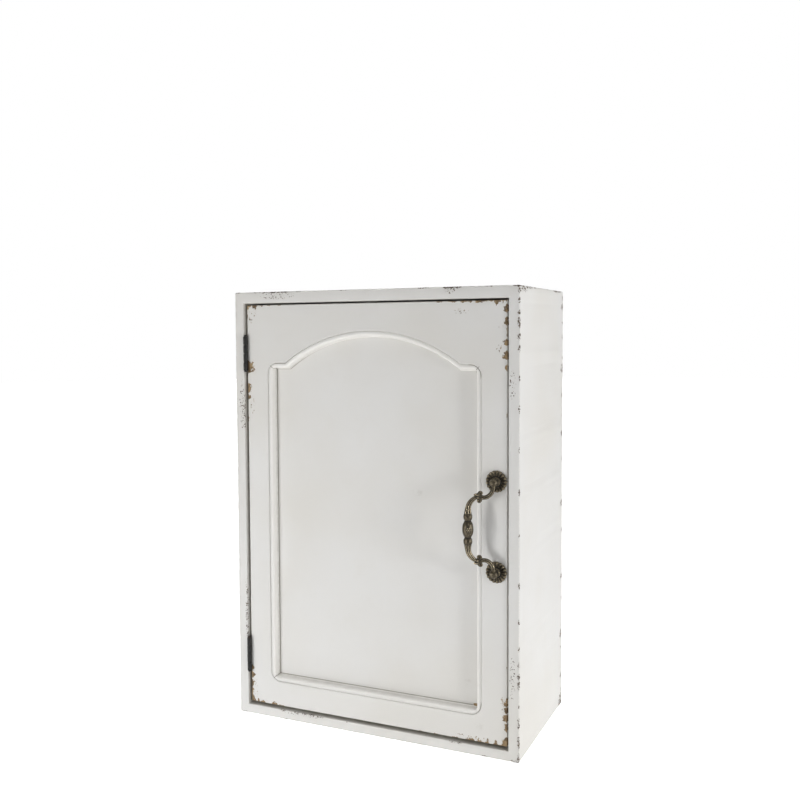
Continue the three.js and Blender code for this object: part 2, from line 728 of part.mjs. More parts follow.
export default cabinet;
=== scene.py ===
"""Looks of the apothecary cabinet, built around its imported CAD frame.

Lengths are named in millimetres and turned into metres by MM where they are used. The
frame's axes: +X right, -Y towards the user, +Z up, origin in the middle of the underside.
"""

import json
import math

import bmesh
import bpy
from mathutils import Matrix, Vector, noise


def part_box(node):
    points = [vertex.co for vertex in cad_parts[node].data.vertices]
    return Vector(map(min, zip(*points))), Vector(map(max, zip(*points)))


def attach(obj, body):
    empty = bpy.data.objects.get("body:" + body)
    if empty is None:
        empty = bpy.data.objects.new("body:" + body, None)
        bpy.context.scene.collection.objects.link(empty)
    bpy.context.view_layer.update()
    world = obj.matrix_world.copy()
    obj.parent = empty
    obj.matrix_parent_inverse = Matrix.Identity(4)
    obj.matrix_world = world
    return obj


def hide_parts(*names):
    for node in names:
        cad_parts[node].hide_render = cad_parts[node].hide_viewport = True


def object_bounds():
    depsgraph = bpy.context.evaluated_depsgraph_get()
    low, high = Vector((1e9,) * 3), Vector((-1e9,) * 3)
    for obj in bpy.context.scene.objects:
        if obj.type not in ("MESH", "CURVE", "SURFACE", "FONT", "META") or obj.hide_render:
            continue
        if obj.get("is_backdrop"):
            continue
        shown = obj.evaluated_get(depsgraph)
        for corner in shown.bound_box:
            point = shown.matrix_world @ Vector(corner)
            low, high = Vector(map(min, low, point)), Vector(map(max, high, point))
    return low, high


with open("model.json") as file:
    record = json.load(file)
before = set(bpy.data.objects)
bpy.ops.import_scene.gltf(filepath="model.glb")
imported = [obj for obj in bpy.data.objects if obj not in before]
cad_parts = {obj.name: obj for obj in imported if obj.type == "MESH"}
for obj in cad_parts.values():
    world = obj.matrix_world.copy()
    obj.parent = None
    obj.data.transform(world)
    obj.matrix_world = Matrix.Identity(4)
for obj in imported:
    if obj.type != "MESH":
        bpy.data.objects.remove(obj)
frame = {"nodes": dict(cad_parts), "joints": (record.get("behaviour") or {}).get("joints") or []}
cad_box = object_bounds()
scene = bpy.context.scene

MM = 0.001


def box_mm(node):
    """A CAD node's lowest and highest corner, in millimetres."""
    low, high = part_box(node)
    return low / MM, high / MM


# ---------------------------------------------------------------- sizes, from the frame

SIDE_LOW, SIDE_HIGH = box_mm("side_panel_right")
HALF = SIDE_HIGH.x
BOARD = SIDE_HIGH.x - SIDE_LOW.x
INNER = HALF - BOARD
FRONT = SIDE_LOW.y
REAR = SIDE_HIGH.y
HEIGHT = SIDE_HIGH.z
FLOOR = box_mm("bottom_panel")[1].z
CEILING = box_mm("top_panel")[0].z
RABBET = 5

STILE_LOW, STILE_HIGH = box_mm("door_stile_right")
DOOR_LEFT = box_mm("door_stile_left")[0].x
DOOR_RIGHT = STILE_HIGH.x
DOOR_LOW = STILE_LOW.z
DOOR_HIGH = STILE_HIGH.z
DOOR_FACE = STILE_LOW.y
DOOR_REAR = STILE_HIGH.y

PANEL_LOW, PANEL_HIGH = box_mm("door_panel")
PANEL_FACE = PANEL_LOW.y
PANEL_REAR = PANEL_HIGH.y

BACK_LOW, BACK_HIGH = box_mm("back_panel")
JOINTS = {joint["name"]: joint for joint in frame["joints"]}
SWING = Vector(JOINTS["bail_swing"]["pos_m"]) / MM
HINGE = Vector(JOINTS["door_hinge"]["pos_m"]) / MM

# The panel opening, as the CAD's door has it
OPEN_HALF = 130
OPEN_LOW = 43
SHOULDER_Z = 418
ARCH_HALF = 107
ARCH_TOP = 454
CORNER_R = 12
BEAD = 7
ARCH_RISE = ARCH_TOP - SHOULDER_Z
ARCH_R = (ARCH_HALF**2 + ARCH_RISE**2) / (2 * ARCH_RISE)
ARCH_MIDDLE_Z = ARCH_TOP - ARCH_R
SPLIT = OPEN_HALF - BEAD

# ------------------------------------------------------------------- camera and light

# Softboxes: where each is, the height it faces and its size in metres
LIGHTS = {
    "key": {"at": (-1.30, -1.90, 0.40), "aim": 0.25, "size": 0.32, "watts": 9.6},
    "fill": {"at": (2.22, -0.84, 0.35), "aim": 0.25, "size": 0.45, "watts": 16.3},
    "side": {"at": (2.4, 0.7, 0.25), "aim": 0.1, "size": 1.2, "watts": 32},
    "low": {"at": (-0.45, -0.95, 0.10), "aim": 0.1, "size": 0.2, "watts": 2.5},
    "back": {"at": (-1.10, 2.30, 0.90), "aim": 0.25, "size": 1.2, "watts": 20},
    "top": {"at": (0, 0.02, 1.80), "aim": 0.5, "size": 0.35, "watts": 0.25, "spread": 26},
}
SKY_TOP = 0.425
FLOOR_BOUNCE = 0.354
FLOOR_SEEN = 0.72

CAMERA_AT = (0.4497, -1.0316, 0.4490)
CAMERA_YAW = 24.8188
CAMERA_PITCH = 3.0296
CAMERA_ROLL = -0.3383
LENS_MM = 42.653
SHIFT = (0.0252, -0.0179)


def rotation(degrees, axis):
    return Matrix.Rotation(math.radians(degrees), 4, axis)


def add_camera():
    camera = bpy.data.objects.new("camera", bpy.data.cameras.new("camera"))
    camera.data.sensor_width = 36
    camera.data.lens = LENS_MM
    camera.data.shift_x, camera.data.shift_y = SHIFT
    camera.data.clip_end = 50
    turn = rotation(CAMERA_YAW, "Z") @ rotation(90 - CAMERA_PITCH, "X")
    camera.matrix_world = Matrix.Translation(CAMERA_AT) @ turn @ rotation(CAMERA_ROLL, "Z")
    scene.collection.objects.link(camera)
    scene.camera = camera


def add_softbox(name, at, aim, size, watts, spread=180):
    """A square area light that faces a height on the cabinet's axis, with its spread in
    degrees."""
    light = bpy.data.lights.new(name, "AREA")
    light.size = size
    light.energy = watts
    light.spread = math.radians(spread)
    lamp = bpy.data.objects.new(name, light)
    way = Vector((0, 0, aim)) - Vector(at)
    lamp.location = at
    lamp.rotation_euler = way.to_track_quat("-Z", "Y").to_euler()
    scene.collection.objects.link(lamp)


def add_world():
    """White to the camera. What lights the cabinet grows from the horizon upward."""
    world = bpy.data.worlds.new("studio")
    scene.world = world
    world.use_nodes = True
    nodes, links = world.node_tree.nodes, world.node_tree.links
    nodes.clear()
    seen = nodes.new("ShaderNodeBackground")
    seen.inputs["Color"].default_value = (1, 1, 1, 1)
    lit = nodes.new("ShaderNodeBackground")
    lit.inputs["Color"].default_value = (1, 1, 1, 1)
    way = nodes.new("ShaderNodeTexCoord")
    split = nodes.new("ShaderNodeSeparateXYZ")
    height = nodes.new("ShaderNodeMapRange")
    height.interpolation_type = "SMOOTHSTEP"
    links.new(way.outputs["Generated"], split.inputs[0])
    links.new(split.outputs["Z"], height.inputs["Value"])
    ends = {"From Min": 0.1, "From Max": 0.7, "To Min": 0, "To Max": SKY_TOP}
    for name, value in ends.items():
        height.inputs[name].default_value = value
    links.new(height.outputs[0], lit.inputs["Strength"])
    path = nodes.new("ShaderNodeLightPath")
    mix = nodes.new("ShaderNodeMixShader")
    out = nodes.new("ShaderNodeOutputWorld")
    links.new(path.outputs["Is Camera Ray"], mix.inputs["Fac"])
    links.new(lit.outputs[0], mix.inputs[1])
    links.new(seen.outputs[0], mix.inputs[2])
    links.new(mix.outputs[0], out.inputs["Surface"])


def add_floor():
    """A wide pale floor. Its glow turns it white to the camera and, close to the cabinet,
    throws a little light back up."""
    mesh = bpy.data.meshes.new("floor")
    bm = bmesh.new()
    bmesh.ops.create_circle(bm, cap_ends=True, segments=96, radius=9)
    bm.to_mesh(mesh)
    bm.free()
    floor = bpy.data.objects.new("floor", mesh)
    floor.location.z = -0.0004
    scene.collection.objects.link(floor)
    graph = Graph("floor")
    graph.set("Base Color", (0.93, 0.93, 0.93, 1))
    graph.set("Roughness", 0.95)
    graph.set("Specular IOR Level", 0.0)
    graph.set("Emission Color", (1, 1, 1, 1))
    x, y, _ = graph.place()
    far = graph.math("SQRT", x * x + y * y)
    bounce = far.step(450, 900).blend(FLOOR_BOUNCE, 0.0)
    seen = graph.made_by(graph.node("LightPath"), {}, "Is Camera Ray")
    glow = seen.blend(bounce, far.step(900, 2200).blend(FLOOR_SEEN, 1.0))
    graph.set("Emission Strength", glow)
    mesh.materials.append(graph.material)
    floor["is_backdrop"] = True


# ------------------------------------------------------------------------ node graphs


class Wire:
    """A node's output, for sums such as `a * 2 + b` with numbers or other wires."""

    def __init__(self, graph, socket):
        self.graph = graph
        self.socket = socket

    def __add__(self, other):
        return self.graph.math("ADD", self, other)

    def __sub__(self, other):
        return self.graph.math("SUBTRACT", self, other)

    def __rsub__(self, other):
        return self.graph.math("SUBTRACT", other, self)

    def __mul__(self, other):
        return self.graph.math("MULTIPLY", self, other)

    def __abs__(self):
        return self.graph.math("ABSOLUTE", self)

    def step(self, low, high):
        """0 below low, 1 above high, smooth between; the other way round if low > high."""
        made = self.graph.node("MapRange", interpolation_type="SMOOTHSTEP")
        ends = (low, high, 0, 1) if low < high else (high, low, 1, 0)
        values = dict(zip(("From Min", "From Max", "To Min", "To Max"), ends))
        return self.graph.made_by(made, {"Value": self, **values})

    def blend(self, a, b):
        """A number from a, where this is 0, to b, where it is 1."""
        made = self.graph.node("Mix", data_type="FLOAT")
        return self.graph.made_by(made, {"Factor": self, 2: a, 3: b})


class Graph:
    """A material's node tree. Values are wires or plain numbers and colours."""

    def __init__(self, name):
        self.material = bpy.data.materials.new(name)
        self.material.use_nodes = True
        self.tree = self.material.node_tree
        self.shader = self.tree.nodes["Principled BSDF"]
        self.axes = None

    def node(self, kind, **settings):
        made = self.tree.nodes.new("ShaderNode" + kind)
        for key, value in settings.items():
            setattr(made, key, value)
        return made

    def plug(self, value, socket):
        if isinstance(value, Wire):
            self.tree.links.new(value.socket, socket)
        else:
            socket.default_value = value

    def made_by(self, node, values, output=0):
        """A node's output as a wire, after plugging values into its inputs by name."""
        for name, value in values.items():
            self.plug(value, node.inputs[name])
        return Wire(self, node.outputs[output])

    def set(self, name, value):
        self.plug(value, self.shader.inputs[name])

    def math(self, operation, *values):
        return self.made_by(self.node("Math", operation=operation), dict(enumerate(values)))

    def smaller(self, *values):
        least = values[0]
        for value in values[1:]:
            least = self.math("MINIMUM", least, value)
        return least

    def larger(self, *values):
        most = values[0]
        for value in values[1:]:
            most = self.math("MAXIMUM", most, value)
        return most

    def place(self):
        """The object's own x, y and z, in millimetres."""
        if self.axes is None:
            self.spot = self.made_by(self.node("TexCoord"), {}, "Object")
            split = self.node("SeparateXYZ")
            self.plug(self.spot, split.inputs[0])
            self.axes = [Wire(self, axis) * 1000 for axis in split.outputs]
        return self.axes

    def noise(self, size, detail=3, roughness=0.55, shift=0):
        """Noise from 0 to 1 whose features are about `size` mm, a number or (x, y, z)."""
        self.place()
        sizes = size if isinstance(size, tuple) else (size, size, size)
        moved = self.made_by(self.node("Mapping"), {
            "Vector": self.spot,
            "Scale": [1 / (part * MM) for part in sizes],
            "Location": (shift, shift * 0.7, shift * 1.3),
        })
        return self.made_by(self.node("TexNoise"), {
            "Vector": moved, "Scale": 1, "Detail": detail, "Roughness": roughness,
        })

    def mix(self, factor, a, b):
        """A colour from a to b."""
        made = self.node("Mix", data_type="RGBA")
        return self.made_by(made, {"Factor": factor, 6: a, 7: b}, 2)

    def curve(self, value, points, reach):
        """A broken line through (place, height) points, heights up to `reach`."""
        points = sorted(points)
        low, high = points[0][0], points[-1][0]
        span = {"Value": value, "From Min": low, "From Max": high}
        along = self.made_by(self.node("MapRange"), span)
        made = self.node("FloatCurve")
        line = made.mapping.curves[0].points
        line[0].location = (0, points[0][1] / reach)
        line[1].location = (1, points[-1][1] / reach)
        for place, height in points[1:-1]:
            line.new((place - low) / (high - low), height / reach)
        for point in line:
            point.handle_type = "VECTOR"
        made.mapping.update()
        return self.made_by(made, {"Value": along}) * reach

    def bites(self, value, low, high, thin, places):
        """A depth along an edge from low to high: `thin`, and deeper at each of the
        (middle, half length, depth) places."""
        points = [(low, thin), (high, thin)]
        for middle, half, depth in places:
            shoulders = ((-half, thin), (-0.6 * half, depth), (0.6 * half, depth), (half, thin))
            points += [(middle + step, level) for step, level in shoulders]
        inside = [(min(max(place, low), high), level) for place, level in points]
        return self.curve(value, inside, 8)

    def patch(self, x, z, places):
        """1 inside any of the (x, z, half width, half height) ovals, soft at the rim."""
        total = None
        for middle_x, middle_z, half_x, half_z in places:
            dx = (x - middle_x) * (1 / half_x)
            dz = (z - middle_z) * (1 / half_z)
            far = dx * dx + dz * dz
            oval = far.step(1.2, 0.4)
            total = oval if total is None else self.larger(total, oval)
        return total

    def attribute(self, name):
        return self.made_by(self.node("Attribute", attribute_name=name), {}, "Fac")

    def bump(self, height, distance, strength, under=None):
        """A relief `distance` mm deep, on top of the one under it."""
        values = {"Height": height, "Distance": distance * MM, "Strength": strength}
        if under is not None:
            values["Normal"] = under
        return self.made_by(self.node("Bump"), values)


# --------------------------------------------------------------------------- materials

CREAM = (0.690, 0.684, 0.668, 1)
CREAM_WARM = (0.655, 0.640, 0.606, 1)
# Olive brown, painted into the moulding's creases, the door's edges and the opening's walls: partly
# brown wash, partly painted shade.
GLAZE_AND_SHADE = (0.250, 0.225, 0.178, 1)
# A whiter cream for painted light, lifting the beads' slopes and the right quirk out of their
# shade.
PAINTED_LIGHT_CREAM = (0.86, 0.845, 0.81, 1)
BARE = (0.362, 0.256, 0.143, 1)
BARE_DARK = (0.138, 0.097, 0.058, 1)
MAUVE = (0.062, 0.042, 0.038, 1)
# A lighter cream painted round each chip's rim as a painted highlight on the broken paint edge.
RIM_HIGHLIGHT = (0.80, 0.775, 0.715, 1)


def median(graph, a, b, c):
    """The middle one of three: on a box's surface, the distance to its nearest edge."""
    return graph.larger(graph.smaller(a, b), graph.smaller(graph.larger(a, b), c))


def chipped(graph, distance, depth, size, shift):
    """How far, in mm, a point lies inside the chips that reach a ragged `depth` from an
    edge at `distance`."""
    ragged = graph.noise(size, detail=4, roughness=0.65, shift=shift)
    reach = depth * ragged.step(0.36, 0.62).blend(0.62, 1.5)
    return reach - distance


def specked(graph, where, amount, size, shift):
    """Small specks of missing paint where `where` is 1; more of them for a larger amount."""
    fine = graph.noise(size, detail=3, roughness=0.55, shift=shift)
    margin = (fine - (0.70 - 0.1 * amount)) * 26
    return margin - (1.0 - where) * 9


def finish_paint(graph, margin, dark, glaze_and_shade, streak_axis, pale=0.0):
    """The paint's colour, gloss and relief, with what is worn through it.

    margin is how far in mm a point lies inside a chip, dark picks the darker wood
    there, glaze_and_shade turns it olive brown, partly brown wash and partly painted
    shade in creases and gaps, and pale is painted light that lifts it whiter in shade.
    """
    cloud = graph.noise(130, detail=2, roughness=0.5)
    soft = graph.noise(22, detail=4, roughness=0.6, shift=4)
    paint = graph.mix(cloud.step(0.3, 0.75), CREAM, CREAM_WARM)
    grime = soft.step(0.5, 0.8) * 0.3
    paint = graph.mix(grime, paint, CREAM_WARM)
    # Painted light: where pale is 1 the paint is lifted towards a whiter cream, against the shade
    # in the moulding.
    paint = graph.mix(pale, paint, PAINTED_LIGHT_CREAM)
    # Olive brown, partly brown wash and partly painted shade in creases and gaps.
    paint = graph.mix(glaze_and_shade, paint, GLAZE_AND_SHADE)
    # Painted highlight: a lighter rim round each chip, as the broken paint edge catches the light.
    rim = margin.step(-0.15, 0.1) * margin.step(0.6, 0.35)
    paint = graph.mix(rim * 0.75, paint, RIM_HIGHLIGHT)
    grain = graph.noise((1.1, 1.1, 7), detail=4, roughness=0.6, shift=9)
    patch = graph.noise(9, detail=2, shift=21)
    shade = grain * 0.5 + patch * 0.8
    wood = graph.mix(shade.step(0.5, 0.82), BARE, BARE_DARK)
    wood = graph.mix(dark, wood, MAUVE)
    bare = margin.step(0.3, 0.6)
    graph.set("Base Color", graph.mix(bare, paint, wood))
    sizes = tuple(30 if axis == streak_axis else 0.9 for axis in "xyz")
    streaks = graph.noise(sizes, detail=3, roughness=0.5, shift=2)
    gloss = streaks.step(0.2, 0.8).blend(0.52, 0.66)
    graph.set("Roughness", bare.blend(gloss, 0.88))
    graph.set("Specular IOR Level", 0.3)
    skin = graph.noise(1.6, detail=3, roughness=0.6, shift=6)
    relief = graph.bump(streaks + skin * 0.5, 0.06, 0.5)
    whole = margin.step(0.5, 0.1)
    graph.set("Normal", graph.bump(whole, 0.35, 0.8, under=relief))
    return graph.material


def outer_chip_depth(graph, right, front):
    """How deep the chips go in from the carcass's outer arrises, before they are ragged."""
    x, y, z = graph.place()
    rear = y.step(REAR - 16, REAR - 11)
    low = z.step(6, 3)
    high = z.step(HEIGHT - 6, HEIGHT - 3)
    upright = graph.bites(z, 0, HEIGHT, 0.35, [
        (5, 6, 1.5), (22, 8, 1.6), (42, 7, 1.5), (60, 3, 1.0), (83, 5, 1.5),
        (92, 3, 1.8), (104, 4, 1.5), (121, 3, 1.1), (150, 3, 1.1), (188, 4, 1.1),
        (240, 3, 1.0), (286, 4, 1.1), (330, 3, 1.1), (372, 4, 1.2), (404, 3, 1.1),
        (435, 4, 1.5), (447, 4, 1.9), (462, 6, 1.8), (472, 3, 1.7), (484, 4, 1.3),
        (494, 4, 1.3),
    ])
    back_upright = graph.bites(z, 0, HEIGHT, 0.2, [
        (8, 8, 9.0), (19, 3, 3.0), (37, 4, 5.0), (45, 2, 3.0), (71, 3, 4.0), (88, 6, 6.5),
        (97, 2, 3.0), (131, 3, 3.5), (158, 4, 5.0), (166, 2, 2.5), (214, 3, 4.0),
        (247, 5, 6.0), (256, 2, 3.0), (301, 3, 3.5), (331, 4, 5.5), (352, 2, 3.0),
        (377, 3, 4.0), (409, 6, 6.5), (421, 2, 3.0), (446, 3, 4.5), (463, 2, 3.5),
        (481, 5, 6.0), (492, 3, 4.0),
    ])
    along_top = graph.bites(x, -HALF, HALF, 0.3, [
        (-168, 4, 0.8), (-142, 5, 1.1), (-118, 22, 1.0), (-86, 6, 0.9), (-30, 5, 0.8),
        (66, 8, 1.0), (98, 12, 1.7), (140, 5, 0.9), (168, 4, 1.0),
    ])
    side_top = graph.bites(y, FRONT, REAR, 0.25, [
        (-77, 6, 1.3), (-62, 5, 1.6), (-48, 6, 1.8), (-32, 4, 1.4), (20, 4, 0.9), (62, 20, 1.4),
    ])
    along_bottom = graph.bites(x, -HALF, HALF, 0.25, [
        (-166, 5, 1.2), (-110, 4, 0.9), (-20, 4, 0.9), (60, 4, 1.0), (134, 4, 1.4),
        (168, 6, 1.8),
    ])
    return graph.larger(
        right * front * upright,
        rear * right * back_upright,
        high * front * along_top,
        high * right * side_top,
        low * front * along_bottom,
        0.3,
    )


def inner_chips(graph, into, ragged):
    """Chips on the arrises round the opening. into is how far behind one a point lies."""
    x, y, z = graph.place()
    left_arris = graph.bites(z, 0, HEIGHT, 0, [
        (95, 4, 1.8), (105, 3, 2.2), (117, 5, 1.8), (131, 3, 2.3), (147, 4, 1.8),
        (160, 3, 1.1), (345, 4, 1.5), (356, 3, 1.6), (367, 4, 1.9), (380, 3, 1.3),
    ]) * x.step(-100, -120)
    low_arris = graph.bites(x, -HALF, HALF, 0, [
        (-113, 4, 1.9), (-104, 2, 1.3), (-95, 4, 2.0), (-84, 5, 1.5), (-75, 4, 2.1),
        (-64, 5, 2.2), (-30, 3, 1.2), (98, 4, 1.9), (106, 3, 1.6),
    ]) * z.step(60, 40)
    reach = graph.larger(left_arris, low_arris) * ragged.step(0.46, 0.56).blend(-0.1, 1.4)
    return reach - graph.larger(into, y - FRONT, 0.3)


def carcass_paint():
    """Paint on the carcass: specks along its outer arrises; olive brown on the opening's walls,
    partly a mottled wash and partly painted shade that deepens back from the front edge.
    """
    graph = Graph("paint_carcass")
    x, y, z = graph.place()
    from_end = graph.smaller(z, HEIGHT - z)
    edge = median(graph, HALF - abs(x), REAR - abs(y), from_end)
    into = graph.larger(abs(x) - INNER, z - CEILING, FLOOR - z)
    right = x.step(HALF - 6, HALF - 3)
    front = y.step(FRONT + 6, FRONT + 3)
    ragged = graph.noise(1.7, detail=3, roughness=0.6, shift=7)
    depth = outer_chip_depth(graph, right, front)
    chips = depth * ragged.step(0.44, 0.56).blend(-0.1, 1.8) + 0.1 - edge
    clusters = graph.patch(x, z, [
        (97, 496, 9, 5), (-115, 496, 32, 6), (165, 396, 5, 20), (165, 88, 4, 32),
        (-164, 368, 5, 38), (-161.8, 128, 2.2, 44), (-88, 8.6, 30, 1.6),
    ])
    corner = (y + (HEIGHT - z) * 3).step(-34, -52)
    on_side = corner * right * z.step(HEIGHT - 9, HEIGHT - 6)
    beside = edge.step(3.6, 1.6) * depth.step(0.9, 1.5)
    specks = graph.larger(
        specked(graph, clusters * front, 1.08, 1.7, 11),
        specked(graph, on_side, 1.6, 2.4, 12),
        specked(graph, beside, 1.2, 1.9, 13),
    )
    wash = graph.noise(9, detail=3, shift=15)
    # Painted shade, partly wash: the opening's walls turn olive brown, more so further back into
    # the gap.
    wall = into.step(0.75, 0.2) * y.step(FRONT + 19, FRONT + 8)
    stained = wash.step(0.3, 0.7).blend(0.6, 0.8)
    lip = y.step(FRONT + 1, FRONT + 7).blend(0.35, 1.0)
    glaze_and_shade = wall * stained * lip
    margin = graph.larger(chips, specks, inner_chips(graph, into, ragged))
    return finish_paint(graph, margin, 0.8, glaze_and_shade, "z")


def opening_distance(graph, x, z):
    """How far inside the panel's inner outline a point of the door lies."""
    side = OPEN_HALF - BEAD - abs(x)
    foot = z - (OPEN_LOW + BEAD)
    shoulder = SHOULDER_Z - BEAD - z
    rise = z - ARCH_MIDDLE_Z
    radius = graph.math("SQRT", x * x + rise * rise)
    arch = ARCH_R - BEAD - radius
    return graph.smaller(side, foot, graph.larger(shoulder, arch))


def door_chips(graph, from_side, from_end):
    """Chips on the door's four edges and loose specks near them."""
    x, _, z = graph.place()
    middle = (DOOR_LOW + DOOR_HIGH) / 2
    hinge_edge = graph.bites(z, DOOR_LOW, DOOR_HIGH, 0.3, [
        (18, 5, 4.2), (27, 5, 3.4), (36, 5, 3.8), (46, 4, 4.2), (55, 4, 3.2), (120, 3, 0.8),
        (210, 3, 0.8), (300, 3, 0.8), (352, 4, 1.2), (378.5, 4, 3.2), (388.5, 6.5, 4.6),
        (413.3, 8, 7.2), (440, 3, 0.8), (472, 4, 1.2), (482, 3, 2.4),
    ])
    free_edge = graph.bites(z, DOOR_LOW, DOOR_HIGH, 0.3, [
        (19, 6, 4.4), (35, 5, 3.0), (44.5, 5, 3.8), (52.5, 3.4, 4.8), (62, 6, 2.8),
        (100, 3, 0.9), (170, 4, 0.9), (300, 4, 0.8), (366, 4, 0.9), (415, 4, 2.2),
        (427.5, 5, 4.4), (441.5, 3.4, 4.8), (452, 6, 1.6), (463, 5, 3.2), (476.5, 5, 3.4),
    ])
    from_left = x.step(1, -1) * hinge_edge
    from_right = x.step(-1, 1) * free_edge
    beside = chipped(graph, from_side, graph.larger(from_left, from_right), 2.6, 3)
    top_edge = graph.bites(x, DOOR_LEFT, DOOR_RIGHT, 0.35, [
        (-154.5, 3, 2.8), (-147, 3.6, 4.0), (-138.2, 2.6, 2.0), (-128.2, 2.6, 1.7),
        (-114, 3, 1.4), (-60, 3, 0.7), (10, 4, 0.7), (84, 5, 1.2), (98, 6, 1.5), (114, 8, 1.9),
        (129, 8, 2.1), (139, 5, 1.8), (149.4, 6.4, 5.2), (156, 3, 2.2),
    ])
    foot_edge = graph.bites(x, DOOR_LEFT, DOOR_RIGHT, 0.35, [
        (-153, 6, 4.4), (-144, 6, 3.2), (-126, 4, 3.0), (-117, 4, 1.6), (-80, 3, 0.8),
        (-20, 3, 0.8), (60, 3, 1.2), (78, 3, 1.3), (100, 4, 1.6), (117, 6, 2.6),
        (131, 7, 3.4), (142, 7, 5.4), (152, 9, 6.8),
    ])
    upper = z.step(middle - 1, middle + 1) * top_edge
    lower = z.step(middle + 1, middle - 1) * foot_edge
    above = chipped(graph, from_end, graph.larger(upper, lower), 2.6, 5)
    loose = graph.patch(x, z, [
        (-152.5, 472, 3, 11), (-148, 474, 4, 4), (-151, 366, 4, 16), (152, 457, 4, 3),
        (150, 435, 5, 5), (-151, 30, 3, 18), (108, 474, 12, 4), (154, 62, 3, 8),
        (120, 19, 24, 2),
    ])
    spot = graph.patch(x, z, [(121.5, 50.8, 4.5, 1.6)]) * 1.4
    specks = graph.larger(specked(graph, loose, 1.1, 1.8, 13), spot - 0.6)
    return graph.larger(beside, above, specks)


def door_wash_and_shade(graph, across, at_left, mottled):
    """Darker paint in the moulding's quirk, crease and junction and on the bottom bead's inner
    slope, heavier on the left: partly brown wash, partly painted shade. Also dark mitre cracks and
    a few smudges.
    """
    x, _, z = graph.place()
    inset = opening_distance(graph, x, z)
    lit = mottled.step(0.35, 0.65).blend(0.45, 1.0)
    at_foot = z.step(90, 60)
    corners = graph.patch(x, z, [
        (-126, 414, 12, 12), (126, 414, 12, 12), (-126, 47, 12, 12), (126, 47, 12, 12),
    ])
    line = graph.larger(corners, at_left * 0.6).blend(0.05, 0.95)
    crease = across.step(5.9, 6.1) * across.step(6.45, 6.2)
    junction = inset.step(-0.25, -0.05) * inset.step(0.55, 0.1)
    foot_wash_and_shade = across.step(2.6, 6.0) * across.step(7.4, 7.0)
    from_corner = graph.smaller(z - OPEN_LOW, SHOULDER_Z - z)
    off_mitre = OPEN_HALF - abs(x) - from_corner
    at_crack = graph.patch(x, z, [(-124, 48.6, 4, 4), (125, 412.5, 5, 5), (-125, 413, 3, 3)])
    cracks = abs(off_mitre).step(0.7, 0.3) * at_crack
    smudge = graph.patch(x, z, [(117, 75, 12, 6), (127, 33, 6, 9), (53, 277, 10, 4)])
    # The quirk, crease, junction and foot lines are painted shade as well as wash; the cracks and
    # smudges are the paint's own marks.
    return graph.larger(
        in_quirk(across) * line,
        crease * lit * at_left.blend(0.25, 0.55),
        junction * graph.larger(at_left, at_foot).blend(0.15, 0.85),
        foot_wash_and_shade * at_foot * lit * 0.12,
        cracks * 0.9,
        smudge * mottled.step(0.45, 0.7) * 0.14,
    )


def in_quirk(across):
    """1 in the small groove along the moulding's outer edge."""
    return across.step(0.0, 0.25) * across.step(0.95, 0.5)


def door_paint():
    """Paint on the door: chipped at its edges, darker in the moulding's creases and on its edges
    back in the gap, partly brown wash and partly painted shade, with painted light on the beads'
    inner slopes and the right quirk.
    """
    graph = Graph("paint_door")
    x, y, z = graph.place()
    from_side = graph.smaller(x - DOOR_LEFT, DOOR_RIGHT - x)
    from_end = graph.smaller(z - DOOR_LOW, DOOR_HIGH - z)
    across = graph.attribute("across")
    mottled = graph.noise(7, detail=3, roughness=0.6, shift=8)
    at_left = x.step(-60, -110)
    wall = graph.smaller(from_side, from_end).step(0.3, 0.05)
    margin = door_chips(graph, from_side, from_end) - wall * 2.2
    # Painted shade: the door's edge faces darken towards olive brown further back into the gap.
    lip = y.step(DOOR_FACE + 3, DOOR_FACE + 7).blend(0.0, 0.5)
    glaze_and_shade = graph.larger(door_wash_and_shade(graph, across, at_left, mottled), wall * lip)
    dark = mottled.step(0.5, 0.6) * 0.35
    # Painted light: the beads' inner slopes and the quirk on the right are lifted whiter where they
    # fall into shade.
    inner_half = across.step(1.5, 4.5) * across.step(7.3, 7.05)
    pale = graph.larger(inner_half * 0.8, in_quirk(across) * at_left.blend(0.8, 0.0))
    return finish_paint(graph, margin, dark, glaze_and_shade, "z", pale)


def inside_paint():
    """Paint on what only shows with the door open: shelves and the hanging rail."""
    graph = Graph("paint_inside")
    _, y, _ = graph.place()
    front_edge = y - box_mm("shelf_lower")[0].y
    rub = graph.noise((14, 3, 3), detail=4, roughness=0.6, shift=5)
    reach = rub.step(0.55, 0.7) * 1.9
    dust = graph.noise(40, detail=3, shift=6).step(0.45, 0.8) * 0.1
    return finish_paint(graph, reach - front_edge, 0.3, dust, "x")


def hardboard():
    graph = Graph("hardboard")
    fibre = graph.noise((3.5, 2, 1.2), detail=5, roughness=0.7)
    cloud = graph.noise(55, detail=3, shift=3)
    brown = graph.mix(fibre, (0.30, 0.205, 0.125, 1), (0.52, 0.39, 0.26, 1))
    stained = graph.mix(cloud.step(0.45, 0.8), brown, (0.24, 0.16, 0.1, 1))
    graph.set("Base Color", stained)
    graph.set("Roughness", fibre.blend(0.72, 0.92))
    graph.set("Normal", graph.bump(fibre, 0.12, 0.6))
    return graph.material


